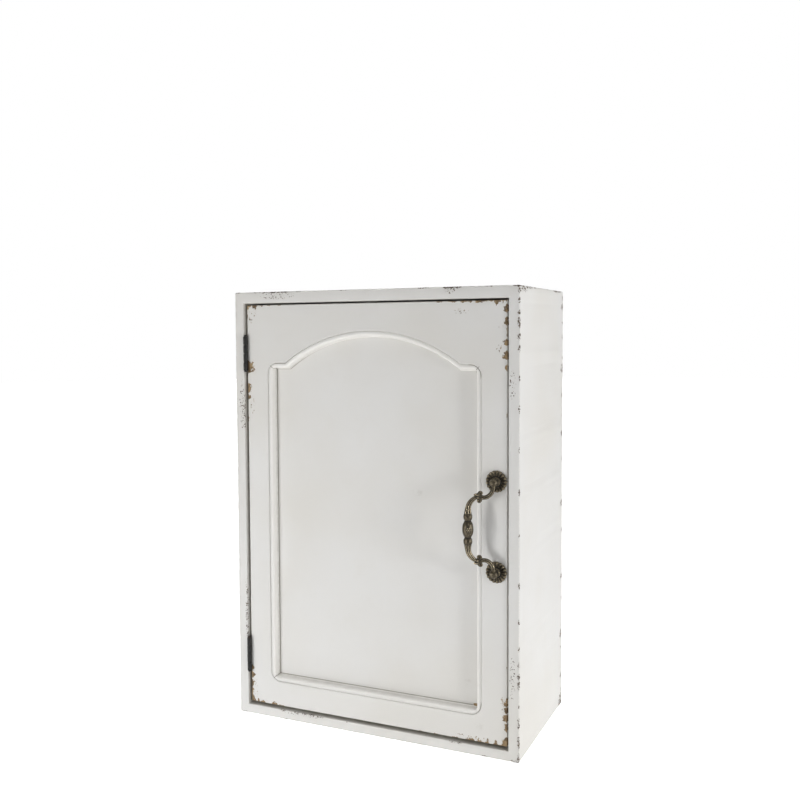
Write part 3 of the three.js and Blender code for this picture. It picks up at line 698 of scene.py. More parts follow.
def antique_brass():
    """Olive-brown patina, rubbed to tan on what stands out and black in what doesn't."""
    graph = Graph("antique_brass")
    raised = graph.attribute("raised")
    mottle = graph.noise(1.6, detail=4, roughness=0.65)
    uneven = (mottle - 0.5) * 0.06
    level = raised + uneven
    sunk = level.step(0.01, -0.03)
    rubbed = level.step(0.05, 0.105)
    patina = graph.mix(
        mottle.step(0.35, 0.65), (0.066, 0.055, 0.038, 1), (0.125, 0.106, 0.074, 1)
    )
    brass = graph.mix(rubbed * 0.85, patina, (0.56, 0.475, 0.33, 1))
    graph.set("Base Color", graph.mix(sunk, brass, (0.010, 0.009, 0.007, 1)))
    graph.set("Metallic", sunk.blend(0.9, 0.1))
    gloss = rubbed.blend(mottle.blend(0.34, 0.5), 0.24)
    graph.set("Roughness", sunk.blend(gloss, 0.8))
    graph.set("Normal", graph.bump(mottle, 0.06, 0.5))
    return graph.material


def black_iron():
    graph = Graph("black_iron")
    mottle = graph.noise(2.2, detail=4, roughness=0.65)
    patch = graph.noise(9, detail=3, shift=5)
    worn_grey = mottle.step(0.55, 0.72)
    black = graph.mix(worn_grey, (0.022, 0.022, 0.021, 1), (0.085, 0.082, 0.078, 1))
    rust = patch.step(0.58, 0.72) * 0.5
    graph.set("Base Color", graph.mix(rust, black, (0.075, 0.040, 0.022, 1)))
    graph.set("Metallic", 0.55)
    graph.set("Roughness", mottle.blend(0.34, 0.66))
    graph.set("Normal", graph.bump(mottle, 0.08, 0.6))
    return graph.material


def zinc_steel():
    graph = Graph("zinc_steel")
    brushed = graph.noise((0.5, 0.5, 9), detail=3)
    dull = graph.noise(6, detail=3, shift=4)
    bright = graph.mix(brushed, (0.50, 0.50, 0.49, 1), (0.66, 0.66, 0.64, 1))
    tarnish = dull.step(0.5, 0.8)
    graph.set("Base Color", graph.mix(tarnish, bright, (0.36, 0.35, 0.33, 1)))
    graph.set("Metallic", 1.0)
    graph.set("Roughness", dull.blend(0.28, 0.5))
    graph.set("Normal", graph.bump(brushed, 0.03, 0.4))
    return graph.material


def white_plastic():
    graph = Graph("white_plastic")
    grain = graph.noise(0.6, detail=2)
    age = graph.noise(14, detail=2, shift=5)
    graph.set("Base Color", graph.mix(age, (0.80, 0.79, 0.76, 1), (0.74, 0.72, 0.66, 1)))
    graph.set("Roughness", grain.blend(0.38, 0.55))
    graph.set("Normal", graph.bump(grain, 0.03, 0.4))
    return graph.material


# -------------------------------------------------------------------------- mesh tools


def to_mesh(bm, name, sharp_degrees=32):
    """The finished mesh of a bmesh built in millimetres."""
    bmesh.ops.recalc_face_normals(bm, faces=bm.faces)
    for vertex in bm.verts:
        vertex.co *= MM
    mesh = bpy.data.meshes.new(name)
    bm.to_mesh(mesh)
    bm.free()
    mesh.shade_smooth()
    mesh.set_sharp_from_angle(angle=math.radians(sharp_degrees))
    return mesh


def show(name, mesh, body, slot, material, node=None):
    """Puts a piece in the scene: its body, material and the node it replaces. slot is not used."""
    piece = bpy.data.objects.new(name, mesh)
    scene.collection.objects.link(piece)
    mesh.materials.clear()
    mesh.materials.append(material)
    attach(piece, body)
    if node:
        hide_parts(node)
    return piece


def stand_in(node, mesh, body, slot, material):
    """The finer piece that stands in for one CAD node."""
    return show(node + ".fine", mesh, body, slot, material, node)


def cad_shape(node):
    """A CAD node's shape in millimetres, with its flat faces whole again."""
    bm = bmesh.new()
    bm.from_mesh(frame["nodes"][node].data)
    bmesh.ops.remove_doubles(bm, verts=bm.verts, dist=1e-6)
    for vertex in bm.verts:
        vertex.co /= MM
    bmesh.ops.dissolve_limit(bm, angle_limit=math.radians(1), verts=bm.verts, edges=bm.edges)
    return bm


def round_arrises(bm, radius, shortest, segments=3):
    """Rounds the sharp edges that are longer than `shortest`."""
    sharp = [
        edge
        for edge in bm.edges
        if edge.calc_length() > shortest and edge.calc_face_angle(0) > math.radians(40)
    ]
    bmesh.ops.bevel(bm, geom=sharp, offset=radius, segments=segments, profile=0.5, affect="EDGES")


def cut(bm, point, normal):
    """Takes away what lies on the normal's side of a plane, and closes the cut."""
    made = bmesh.ops.bisect_plane(
        bm,
        geom=bm.verts[:] + bm.edges[:] + bm.faces[:],
        plane_co=point,
        plane_no=normal,
        clear_outer=True,
        dist=1e-5,
    )
    rim = [item for item in made["geom_cut"] if isinstance(item, bmesh.types.BMEdge)]
    bmesh.ops.holes_fill(bm, edges=rim, sides=0)


def frame_cuts(half, middle, left, right, low, high):
    """The planes that cut a frame into two uprights, between them a low and a high board."""
    at_left, at_right, halfway = (-half, 0, 0), (half, 0, 0), (0, 0, middle)
    between_uprights = [(at_left, (-1, 0, 0)), (at_right, (1, 0, 0))]
    return {
        left: [(at_left, (1, 0, 0))],
        right: [(at_right, (-1, 0, 0))],
        low: [*between_uprights, (halfway, (0, 0, 1))],
        high: [*between_uprights, (halfway, (0, 0, -1))],
    }


def cut_pieces(rings, across, cuts):
    """Each piece's node and shape, cut by its planes from the same loft."""
    for node, planes in cuts.items():
        bm = loft(rings, across)
        for point, normal in planes:
            cut(bm, point, normal)
        yield node, bm


def loft(rings, across=None, wrap=True):
    """Quads between matched rings of points. With wrap, the last ring joins the first,
    and otherwise the first and last ring are capped. across is a number for each ring.
    """
    bm = bmesh.new()
    layer = bm.verts.layers.float.new("across")
    rows = []
    for index, ring in enumerate(rings):
        row = [bm.verts.new(point) for point in ring]
        if across is not None:
            for vertex in row:
                vertex[layer] = across[index]
        rows.append(row)
    count = len(rows[0])
    pairs = list(zip(rows, rows[1:]))
    if wrap:
        pairs.append((rows[-1], rows[0]))
    for row, following in pairs:
        for i in range(count):
            j = (i + 1) % count
            bm.faces.new((row[i], row[j], following[j], following[i]))
    if not wrap:
        bm.faces.new(rows[0])
        bm.faces.new(list(reversed(rows[-1])))
    return bm


def turned(profile, segments=40, shape=None):
    """A turned solid about +Z from (radius, height) points that start and end at
    radius 0. shape(angle, height) may change the radius round the turn."""
    bm = bmesh.new()
    rows = []
    for radius, height in profile:
        if radius == 0:
            rows.append([bm.verts.new((0, 0, height))])
            continue
        row = []
        for i in range(segments):
            angle = 2 * math.pi * i / segments
            r = radius * (shape(angle, height) if shape else 1)
            row.append(bm.verts.new((r * math.cos(angle), r * math.sin(angle), height)))
        rows.append(row)
    for row, following in zip(rows, rows[1:]):
        for i in range(segments):
            j = (i + 1) % segments
            corners = [row[i % len(row)], row[j % len(row)]]
            corners += [following[j % len(following)], following[i % len(following)]]
            unique = list(dict.fromkeys(corners))
            if len(unique) > 2:
                bm.faces.new(unique)
    return bm


def smooth_profile(points, steps=4):
    """A rounded line through (radius, height) points."""
    line = along(points, steps)
    return [(max(r, 0.02) if 0 < i < len(line) - 1 else r, h) for i, (r, h) in enumerate(line)]


def along(points, steps):
    """A smooth curve through points of any dimension, with `steps` from each to the next."""
    line = []
    last = len(points) - 1
    for index in range(last):
        near = [points[min(max(index + i, 0), last)] for i in (-1, 0, 1, 2)]
        for step in range(steps):
            line.append([catmull(*values, step / steps) for values in zip(*near)])
    return [*line, points[-1]]


def catmull(a, b, c, d, t):
    """A Catmull-Rom curve's value at t between b and c."""
    square = (2 * a - 5 * b + 4 * c - d) * t**2
    cube = (3 * b - a - 3 * c + d) * t**3
    return 0.5 * (2 * b + (c - a) * t + square + cube)


def merge(parts):
    """One bmesh from several, each with the matrix that places it."""
    whole = bmesh.new()
    for part, matrix in parts:
        mesh = bpy.data.meshes.new("part")
        part.to_mesh(mesh)
        part.free()
        mesh.transform(matrix)
        whole.from_mesh(mesh)
        bpy.data.meshes.remove(mesh)
    return whole


def modified(mesh, **modifiers):
    """A mesh after modifiers, each given as KIND={setting: value}."""
    holder = bpy.data.objects.new("holder", mesh)
    scene.collection.objects.link(holder)
    for kind, settings in modifiers.items():
        modifier = holder.modifiers.new(kind, kind)
        for key, value in settings.items():
            setattr(modifier, key, value)
    depsgraph = bpy.context.evaluated_depsgraph_get()
    made = bpy.data.meshes.new_from_object(holder.evaluated_get(depsgraph))
    bpy.data.objects.remove(holder)
    return made


def cast(mesh, grain_mm=0.2, rounds=40):
    """A mesh fused into one skin of even small faces. "raised" says how far in mm each
    of its points stands out of the smoothed surface, for patina and rubbing."""
    skin = modified(
        mesh,
        REMESH={"mode": "VOXEL", "voxel_size": grain_mm * MM, "use_smooth_shade": True},
        SMOOTH={"factor": 0.5, "iterations": 2},
    )
    flat = modified(skin, SMOOTH={"factor": 0.5, "iterations": rounds})
    raised = skin.attributes.new("raised", "FLOAT", "POINT")
    for here, there, value in zip(skin.vertices, flat.vertices, raised.data):
        value.value = (here.co - there.co).dot(here.normal) / MM
    bpy.data.meshes.remove(flat)
    return skin


def without(mesh, cutters):
    """A mesh with others cut out of it."""
    group = bpy.data.collections.new("cutters")
    scene.collection.children.link(group)
    tools = []
    for cutter in cutters:
        tool = bpy.data.objects.new("cutter", cutter)
        group.objects.link(tool)
        tools.append(tool)
    made = modified(
        mesh,
        BOOLEAN={
            "operand_type": "COLLECTION",
            "collection": group,
            "operation": "DIFFERENCE",
            "solver": "EXACT",
        },
    )
    for tool in tools:
        bpy.data.objects.remove(tool)
    bpy.data.collections.remove(group)
    return made


# ----------------------------------------------------------------------------- carcass


def between(start, end, count):
    """Points strictly between two, evenly spaced."""
    steps = [(i + 1) / (count + 1) for i in range(count)]
    return [tuple(a + (b - a) * t for a, b in zip(start, end)) for t in steps]


def rounded_rectangle(half, low, high, radius, turn=4, wide=70, tall=100):
    """A rectangle of (x, z) points, clockwise from its top left corner."""
    centres = [(half - radius, high - radius), (half - radius, low + radius)]
    centres += [(-half + radius, low + radius), (-half + radius, high - radius)]
    points = []
    for quarter, (x, z) in enumerate(centres):
        start = math.pi / 2 * (1 - quarter)
        corner = arc(x, z, radius, start, start - math.pi / 2, turn)
        if points:
            points += between(points[-1], corner[0], tall if quarter % 2 else wide)
        points += corner
    return points + between(points[-1], points[0], wide)


def dented(ring, middle, depth, grain=5.0):
    """A ring of points with small dents towards a middle point, as on a knocked arris."""
    moved = []
    for point in ring:
        place = Vector(point)
        knock = max(noise.noise(place / grain) - 0.12, 0) * depth
        inward = (Vector(middle) - place)
        inward.y = math.copysign(min(abs(inward.y), 60), inward.y)
        moved.append(place + inward.normalized() * knock)
    return moved


def add_carcass(paint):
    """The four boards, cut from one ring so that no joint shows, with soft arrises."""
    outer = (HALF, 0, HEIGHT)
    inner = (INNER, FLOOR, CEILING)
    rabbet = (INNER + RABBET, FLOOR - RABBET, CEILING + RABBET)
    rabbet_front = BACK_LOW.y - 0.3

    def ring(size, inset, y, radius):
        half, low, high = size
        line = rounded_rectangle(half - inset, low + inset, high - inset, radius)
        return ring_at(line, y)

    def rounding(size, sign, y, toward, radius, corner):
        """Rings round an arris: inset grows with sign, y moves from y towards a face."""
        rings = []
        for angle in (0, 22.5, 45, 67.5, 90):
            a = math.radians(angle)
            inset = sign * radius * (1 - math.cos(a))
            rings.append(ring(size, inset, y + toward * radius * math.sin(a), corner))
        return rings

    def knocked(rings, depth):
        """The rings, all dented but the first and last."""
        middle = (0, 0, HEIGHT / 2)
        return [rings[0], *[dented(row, middle, depth) for row in rings[1:-1]], rings[-1]]

    soft, fine = 1.4, 0.8
    rings = knocked(rounding(outer, 1, FRONT + soft, -1, soft, 1.8), 1.5)
    rings += rounding(inner, -1, FRONT + fine, -1, fine, 0.6)[::-1]
    rings.append(ring(inner, 0, rabbet_front, 0.6))
    rings.append(ring(rabbet, 0, rabbet_front, 0.6))
    rings += rounding(rabbet, -1, REAR - 0.5, 1, 0.5, 0.6)
    rings += knocked(rounding(outer, 1, REAR - soft, 1, soft, 1.8)[::-1], 1.3)
    boards = frame_cuts(
        INNER - 0.01, HEIGHT / 2, "side_panel_left", "side_panel_right", "bottom_panel", "top_panel"
    )
    for node, bm in cut_pieces(rings, None, boards):
        mesh = to_mesh(bm, node)
        if node == "side_panel_left":
            mesh = without(mesh, [barrel_room(z) for z in HINGE_MIDDLES])
        stand_in(node, mesh, "cabinet", "paint", paint)


def barrel_room(z):
    """What a hinge's barrel needs cut out of the side's front arris."""
    half = HINGE_LONG / 2 + 2
    room = turned([(0, -half), (KNUCKLE_R + 0.5, -half), (KNUCKLE_R + 0.5, half), (0, half)])
    room.transform(Matrix.Translation((HINGE.x, HINGE.y, z)))
    return to_mesh(room, "barrel_room")


def add_inner_boards(paint):
    for node in ("shelf_lower", "shelf_upper", "hanging_rail"):
        bm = cad_shape(node)
        round_arrises(bm, 1.0, shortest=60)
        stand_in(node, to_mesh(bm, node), "cabinet", "paint", paint)


def evenly(start, end, count):
    """Numbers from start to end, both included."""
    return [start + (end - start) * i / (count - 1) for i in range(count)]


def add_back(board, steel):
    """The back panel, held in its rabbet by small round-headed tacks."""
    bm = cad_shape("back_panel")
    mesh = to_mesh(bm, "back_panel")
    stand_in("back_panel", mesh, "cabinet", "hardboard", board)
    profile = [
        (0, -3), (0.6, -3), (0.6, 0), (2.3, 0), (2.35, 0.25), (1.7, 0.75), (0.9, 1.0), (0, 1.08),
    ]
    tack = to_mesh(turned(profile, 20), "back_tack")
    inset = 6
    left, right = BACK_LOW.x + inset, BACK_HIGH.x - inset
    low, high = BACK_LOW.z + inset, BACK_HIGH.z - inset
    places = [(x, z) for x in (left, right) for z in evenly(low, high, 6)]
    places += [(x, z) for z in (low, high) for x in evenly(left, right, 5)[1:-1]]
    for index, (x, z) in enumerate(places, 1):
        piece = show(f"back_tack_{index:02d}", tack, "cabinet", "steel", steel)
        piece.matrix_world = aimed((x, BACK_HIGH.y, z), (0, 1, 0))


# -------------------------------------------------------------------------------- door


def arc(x, z, radius, start, end, steps):
    points = []
    for i in range(steps + 1):
        angle = start + (end - start) * i / steps
        points.append((x + radius * math.cos(angle), z + radius * math.sin(angle)))
    return points


def opening_outline(inset):
    """The panel opening's line, moved inwards, as (x, z) points in order."""
    half = OPEN_HALF - inset
    low = OPEN_LOW + inset
    shoulder = SHOULDER_Z - inset
    arch_r = ARCH_R - inset
    radius = max(CORNER_R - inset * CORNER_R / BEAD, 0.4) if inset > 0 else CORNER_R - inset
    spring = math.acos((shoulder - ARCH_MIDDLE_Z) / arch_r)
    quarter = math.pi / 2
    right = arc(0, ARCH_MIDDLE_Z, arch_r, quarter, quarter - spring, 26)
    right += arc(half - radius, shoulder - radius, radius, quarter, 0, 8)
    right += arc(half - radius, low + radius, radius, 0, -quarter, 8)
    return right + [(-x, z) for x, z in reversed(right[1:])]


def door_rectangle(inset):
    """The door's edge line, moved inwards, with a point for each of the outline's."""
    left, right = DOOR_LEFT + inset, DOOR_RIGHT - inset
    low, high = DOOR_LOW + inset, DOOR_HIGH - inset
    centre, middle = (left + right) / 2, (low + high) / 2
    points = []
    for x, z in opening_outline(0):
        dx, dz = (x - centre) * 2 / (right - left), (z - middle) * 2 / (high - low)
        grow = 1 / max(abs(dx), abs(dz))
        points.append([centre + (x - centre) * grow, middle + (z - middle) * grow])
    for corner in ((right, low), (right, high), (left, low), (left, high)):
        nearest = min(points, key=lambda p: math.dist(p, corner))
        nearest[:] = corner
    return points


def ring_at(line, y):
    return [(x, y, z) for x, z in line]


def add_door_frame(paint):
    """Stiles and rails: one ring with a soft lip round the panel, cut into four."""
    seat = PANEL_REAR + 0.3
    lip = [(5, 0), (3.4, 0.05), (2.2, 0.17), (1.3, 0.22), (0.6, 0.12), (0.15, -0.15), (0, -0.6)]
    rings = [
        (ring_at(door_rectangle(1.0), DOOR_FACE), -20),
        (ring_at(door_rectangle(1.4), DOOR_FACE), -20),
        (ring_at(opening_outline(-6), DOOR_FACE), -20),
    ]
    for out, proud in lip:
        rings.append((ring_at(opening_outline(-out), DOOR_FACE - proud), -out))
    rings += [
        (ring_at(opening_outline(0), DOOR_FACE + 3), 0),
        (ring_at(opening_outline(0), seat), 0),
        (ring_at(opening_outline(BEAD), seat), 9),
        (ring_at(opening_outline(BEAD), DOOR_REAR - 0.8), 9),
        (ring_at(opening_outline(BEAD - 0.8), DOOR_REAR), 9),
        (ring_at(opening_outline(BEAD - 1.2), DOOR_REAR), 9),
        (ring_at(door_rectangle(1.2), DOOR_REAR), -20),
        (ring_at(door_rectangle(0.8), DOOR_REAR), -20),
        (ring_at(door_rectangle(0), DOOR_REAR - 0.8), -20),
        (ring_at(door_rectangle(0), DOOR_FACE + 1.0), -20),
        (ring_at(door_rectangle(0.3), DOOR_FACE + 0.3), -20),
    ]
    boards = frame_cuts(
        SPLIT, (DOOR_LOW + DOOR_HIGH) / 2,
        "door_stile_left", "door_stile_right", "door_rail_bottom", "door_rail_arched",
    )
    lines, across = zip(*rings)
    for node, bm in cut_pieces(lines, across, boards):
        stand_in(node, to_mesh(bm, node), "door", "paint", paint)


def add_beads(paint):
    """The moulding: a quirk, an ovolo and a small fillet, mitred at the corners."""
    foot = PANEL_FACE - 0.1 - DOOR_FACE
    section = [(0.12, foot), (0.12, 1.1), (0.25, 0.6), (0.6, 0.26), (1.1, 0.12)]
    wide, deep = 4.9, foot - 1.5
    steps = 12
    for i in range(1, steps + 1):
        angle = math.pi / 2 * i / steps
        drop = (1 - math.cos(angle)) ** 1.7
        section.append((1.1 + wide * math.sin(angle), 0.12 + deep * drop))
    section += [(6.12, foot - 1.2), (6.7, foot - 1.12), (6.95, foot - 0.9), (BEAD, foot)]
    corners = [Vector((x, 0, z)) for z in (OPEN_LOW, SHOULDER_Z) for x in (-OPEN_HALF, OPEN_HALF)]
    low_left, low_right, top_left, top_right = corners
    down, up = Vector((1, 0, -1)).normalized(), Vector((1, 0, 1)).normalized()
    mitres = {
        "panel_bead_left": [(low_left, down), (top_left, up)],
        "panel_bead_right": [(low_right, -up), (top_right, -down)],
        "panel_bead_bottom": [(low_left, -down), (low_right, up)],
        "panel_bead_arch": [(top_left, -up), (top_right, down)],
    }
    kerf = 0.12
    cuts = {
        node: [(corner - normal * kerf, normal) for corner, normal in planes]
        for node, planes in mitres.items()
    }
    rings = [ring_at(opening_outline(u), DOOR_FACE + depth) for u, depth in section]
    for node, bm in cut_pieces(rings, [u for u, _ in section], cuts):
        stand_in(node, to_mesh(bm, node, 50), "door", "paint", paint)


def add_panel(paint):
    """The flat panel, with a soft front edge under the moulding."""
    rings = [
        ring_at(opening_outline(0.5), PANEL_REAR),
        ring_at(opening_outline(0.5), PANEL_FACE + 0.5),
        ring_at(opening_outline(1.0), PANEL_FACE),
    ]
    bm = loft(rings, [9, 9, 9], wrap=False)
    stand_in("door_panel", to_mesh(bm, "door_panel"), "door", "paint", paint)


# ------------------------------------------------------------------------------ screws

PAN_HIGH = 2.2


def aimed(at, way):
    """The matrix, in metres, that puts a turned shape's foot at a point in mm, with its
    axis along `way`."""
    turn = Vector(way).to_track_quat("Z", "Y").to_matrix().to_4x4()
    return Matrix.Translation(Vector(at) * MM) @ turn


def driven(node, into):
    """Where a screw's head is, in mm: the end of its box that it was driven from."""
    low, high = box_mm(node)
    middle = (low + high) / 2
    half = (high - low) / 2
    return [m - h * way for m, h, way in zip(middle, half, into)]


def cross_recess(depth, long, wide):
    """Two crossed blades that taper towards their tip, for a screw's head."""
    blades = []
    for turn in (0, math.pi / 2):
        bm = bmesh.new()
        bmesh.ops.create_cube(bm, size=1)
        for vertex in bm.verts:
            deep = vertex.co.z > 0
            vertex.co.x *= (0.35 if deep else 1.0) * long
            vertex.co.y *= wide
            vertex.co.z = depth if deep else -1.5
        bm.transform(Matrix.Rotation(turn, 4, "Z"))
        blades.append(to_mesh(bm, "blade"))
    return blades


def wood_screw(length):
    """A countersunk cross-head screw from its head along +Z, with a threaded shank."""
    profile = [(0, 0.04), (1.5, 0.0), (2.7, 0.03), (2.88, 0.14), (2.88, 0.26), (1.45, 1.7)]
    turns = int((length - 3.5) / 0.9)
    for i in range(turns):
        z = 2.2 + i * 0.9
        profile += [(1.0, z), (1.38, z + 0.35), (1.38, z + 0.45), (1.0, z + 0.8)]
    profile += [(0.7, length - 1.0), (0, length)]
    return without(to_mesh(turned(profile, 28), "screw"), cross_recess(1.3, 3.0, 0.55))


def machine_screw(length):
    """A pan-head cross-head screw: +Z goes in, the head stands out on the -Z side."""
    head = [(0, -PAN_HIGH), (1.4, -2.15), (2.8, -1.85), (3.6, -1.3), (3.95, -0.6), (4.0, 0)]
    profile = head + [(1.9, 0), (1.9, length), (0, length)]
    cutters = cross_recess(1.2, 4.2, 0.8)
    for cutter in cutters:
        cutter.transform(Matrix.Translation((0, 0, -PAN_HIGH * MM)))
    return without(to_mesh(turned(profile, 32), "machine_screw"), cutters)


def screw_list(iron, steel):
    """Each screw's node, body, the way it was driven, slot and material."""
    left, right, ahead = (-1, 0, 0), (1, 0, 0), (0, -1, 0)
    screws = []
    for leaf, body, into in (("case", "cabinet", left), ("door", "door", right)):
        for which in ("upper", "lower"):
            for place in ("top", "bottom"):
                node = f"hinge_{which}_{leaf}_screw_{place}"
                screws.append((node, body, into, "black_iron", iron))
    for place in ("top", "bottom"):
        screws.append((f"catch_screw_{place}", "cabinet", right, "steel", steel))
        for side in ("left", "right"):
            screws.append((f"hanger_{side}_screw_{place}", "cabinet", ahead, "steel", steel))
    for node in ("strike_plate_screw", "handle_screw_upper", "handle_screw_lower"):
        screws.append((node, "door", ahead, "steel", steel))
    return screws


def add_screws(iron, steel):
    """Every screw, each with its cross turned its own way."""
    shapes = {}
    for index, (node, body, into, slot, material) in enumerate(screw_list(iron, steel)):
        low, high = box_mm(node)
        length = max(high - low)
        pan = node.startswith("handle")
        key = (pan, round(length), slot)
        if key not in shapes:
            shapes[key] = machine_screw(length - PAN_HIGH) if pan else wood_screw(length)
        piece = stand_in(node, shapes[key], body, slot, material)
        at = driven(node, into)
        if pan:
            at[1] -= PAN_HIGH
        spin = Matrix.Rotation(index * 0.9, 4, "Z")
        piece.matrix_world = aimed(at, into) @ spin


# ------------------------------------------------------------------------------ hinges

KNUCKLE_R = 2.5
KNUCKLES = 4
LEAF_THICK = 1.05
GAP = 0.3
HINGE_LONG = 40
HINGE_MIDDLES = [
    sum(corner.z for corner in box_mm(f"hinge_{which}_pin")) / 2 for which in ("upper", "lower")
]


def knuckle(low, high):
    """One bored knuckle of a barrel, with chamfered ends."""
    bore, chamfer = 1.65, 0.6
    profile = [
        (bore, low), (KNUCKLE_R - chamfer, low), (KNUCKLE_R - 0.1, low + 0.25),
        (KNUCKLE_R, low + chamfer + 0.1), (KNUCKLE_R, high - chamfer - 0.1),
        (KNUCKLE_R - 0.1, high - 0.25), (KNUCKLE_R - chamfer, high), (bore, high),
    ]
    rings = []
    for radius, z in profile:
        rings.append(ring_at(arc(0, 0, radius, 0, 2 * math.pi * 31 / 32, 31), z))
    bm = loft([[(x, z, y) for x, y, z in ring] for ring in rings])
    bm.transform(Matrix.Translation((HINGE.x, HINGE.y, 0)))
    return bm


def rounded_box(low, high, radius, segments=2):
    bm = bmesh.new()
    bmesh.ops.create_cube(bm, size=1)
    for vertex in bm.verts:
        vertex.co = [b if part > 0 else a for part, a, b in zip(vertex.co, low, high)]
    bmesh.ops.bevel(
        bm, geom=bm.edges[:], offset=radius, segments=segments, profile=0.5, affect="EDGES"
    )
    return bm


def add_hinges(iron):
    """Butt hinges: plates with their screw holes, bored knuckles and a headed pin."""
    plate_front = HINGE.y + KNUCKLE_R + GAP
    leaves = {
        "case": (-INNER + GAP, 1, "cabinet"),
        "door": (DOOR_LEFT - GAP - LEAF_THICK, 0, "door"),
    }
    pin = [(0, -1.5), (1.0, -1.35), (1.65, -0.95), (1.9, -0.4), (1.9, 0), (1.2, 0)]
    for which, middle in zip(("upper", "lower"), HINGE_MIDDLES):
        low = middle - HINGE_LONG / 2
        for side, (x0, first, body) in leaves.items():
            node = f"hinge_{which}_{side}_leaf"
            plate = cad_shape(node)
            cut(plate, (0, plate_front + 0.2, 0), (0, -1, 0))
            parts = [(plate, Matrix())]
            for i in range(first, KNUCKLES, 2):
                start = low + i * HINGE_LONG / KNUCKLES + GAP / 2
                end = start + HINGE_LONG / KNUCKLES - GAP
                parts.append((knuckle(start, end), Matrix()))
                corner = (x0 + LEAF_THICK, plate_front + 1, end)
                web = rounded_box((x0, HINGE.y + 1.9, start), corner, 0.2)
                parts.append((web, Matrix()))
            mesh = to_mesh(merge(parts), node)
            stand_in(node, mesh, body, "black_iron", iron)
        node = f"hinge_{which}_pin"
        half = HINGE_LONG / 2 + GAP / 2
        foot = [(r, z - half) for r, z in pin]
        whole = foot + [(r, -z) for r, z in reversed(foot)]
        bm = turned(whole, 28)
        bm.transform(Matrix.Translation((HINGE.x, HINGE.y, middle)))
        stand_in(node, to_mesh(bm, node), "cabinet", "black_iron", iron)


# --------------------------------------------------------------- catch, hangers, pins


def add_fittings(steel, plastic):
    """Magnetic catch and strike, shelf pins and the keyhole hanger plates."""
    soft = [
        ("catch_housing", "cabinet", "white_plastic", plastic, 0.7),
        ("catch_magnet", "cabinet", "steel", steel, 0.35),
        ("strike_plate", "door", "steel", steel, 0.3),
    ]
    for node, body, slot, material, radius in soft:
        bm = cad_shape(node)
        round_arrises(bm, radius, shortest=5)
        stand_in(node, to_mesh(bm, node), body, slot, material)
    for level in ("lower", "upper"):
        for side, way in (("left", 1), ("right", -1)):
            for place in ("front", "rear"):
                add_shelf_pin(f"shelf_pin_{level}_{side}_{place}", way, steel)
    for side in ("left", "right"):
        add_hanger(side, steel)


def add_shelf_pin(node, way, steel):
    low, high = box_mm(node)
    long = high.x - low.x
    collar = 8.9
    profile = [
        (0, 0), (2.2, 0), (2.5, 0.4), (2.5, collar - 1.2), (3.6, collar - 1.2),
        (3.8, collar - 1.0), (3.8, collar - 0.2), (3.6, collar), (2.5, collar),
        (2.5, long - 0.9), (2.2, long - 0.3), (1.6, long - 0.05), (0, long),
    ]
    middle = (low + high) / 2
    at = (low.x if way > 0 else high.x, middle.y, middle.z)
    piece = stand_in(node, to_mesh(turned(profile, 28), node), "cabinet", "steel", steel)
    piece.matrix_world = aimed(at, (way, 0, 0))


def add_hanger(side, steel):
    """A keyhole plate: an eye for the wall screw's head with a slot above it."""
    node = f"hanger_plate_{side}"
    low, high = box_mm(node)
    x = (low.x + high.x) / 2
    plate = rounded_box(low, high, 0.3)
    eye_z, slot_z = high.z - 30, high.z - 17
    cutters = []
    for radius, z in ((4.8, eye_z), (2.2, slot_z)):
        drill = turned([(0, -4), (radius, -4), (radius, 4), (0, 4)], 40)
        drill.transform(Matrix.Translation((x, low.y, z)) @ Matrix.Rotation(math.pi / 2, 4, "X"))
        cutters.append(to_mesh(drill, "drill"))
    slot = rounded_box((x - 2.2, low.y - 3, eye_z), (x + 2.2, high.y + 3, slot_z), 0.01, 1)
    cutters.append(to_mesh(slot, "slot"))
    for place in ("top", "bottom"):
        at = driven(f"hanger_{side}_screw_{place}", (0, -1, 0))
        sink = turned([(0, -1), (3.2, -1), (3.2, 0.25), (1.7, 1.8), (1.7, 4), (0, 4)], 32)
        sink = to_mesh(sink, "countersink")
        sink.transform(aimed(at, (0, -1, 0)))
        cutters.append(sink)
    mesh = without(to_mesh(plate, node), cutters)
    stand_in(node, mesh, "cabinet", "steel", steel)


# ------------------------------------------------------------------------------ handle

PETALS = 17
BAIL_REACH = 26.5
BAIL_LEAN = 25


def add_rosettes(brass):
    """Dished flower plates whose petals are rounded ridges with sharp grooves between."""
    rows = [
        (2.3, 3.2, 0, 0), (4.6, 3.2, 0, 0), (4.8, 2.7, 0, 0), (5.0, 1.5, 0.1, 0),
        (5.6, 0.85, 0.55, 0), (6.6, 0.75, 0.95, 0), (7.8, 0.95, 1.2, 0), (9.0, 1.3, 1.3, 0.05),
        (9.9, 1.45, 1.2, 0.25), (10.5, 1.2, 0.95, 0.6), (10.75, 0.7, 0.6, 0.85),
        (10.75, 0.15, 0.1, 0.85), (10.5, 0, 0, 0.8), (2.3, 0, 0, 0),
    ]
    steps = PETALS * 14
    rings = []
    for radius, base, petal, scallop in rows:
        ring = []
        for i in range(steps):
            angle = 2 * math.pi * i / steps
            lobe = abs(math.cos(PETALS * angle / 2)) ** 0.6
            out = radius + scallop * lobe
            ring.append((out * math.cos(angle), out * math.sin(angle), base + petal * lobe))
        rings.append(ring)
    mesh = cast(to_mesh(loft(rings), "handle_rosette", 50))
    for place in ("upper", "lower"):
        node = f"handle_rosette_{place}"
        low, high = box_mm(node)
        at = ((low.x + high.x) / 2, high.y, (low.z + high.z) / 2)
        piece = stand_in(node, mesh, "door", "antique_brass", brass)
        piece.matrix_world = aimed(at, (0, -1, 0))


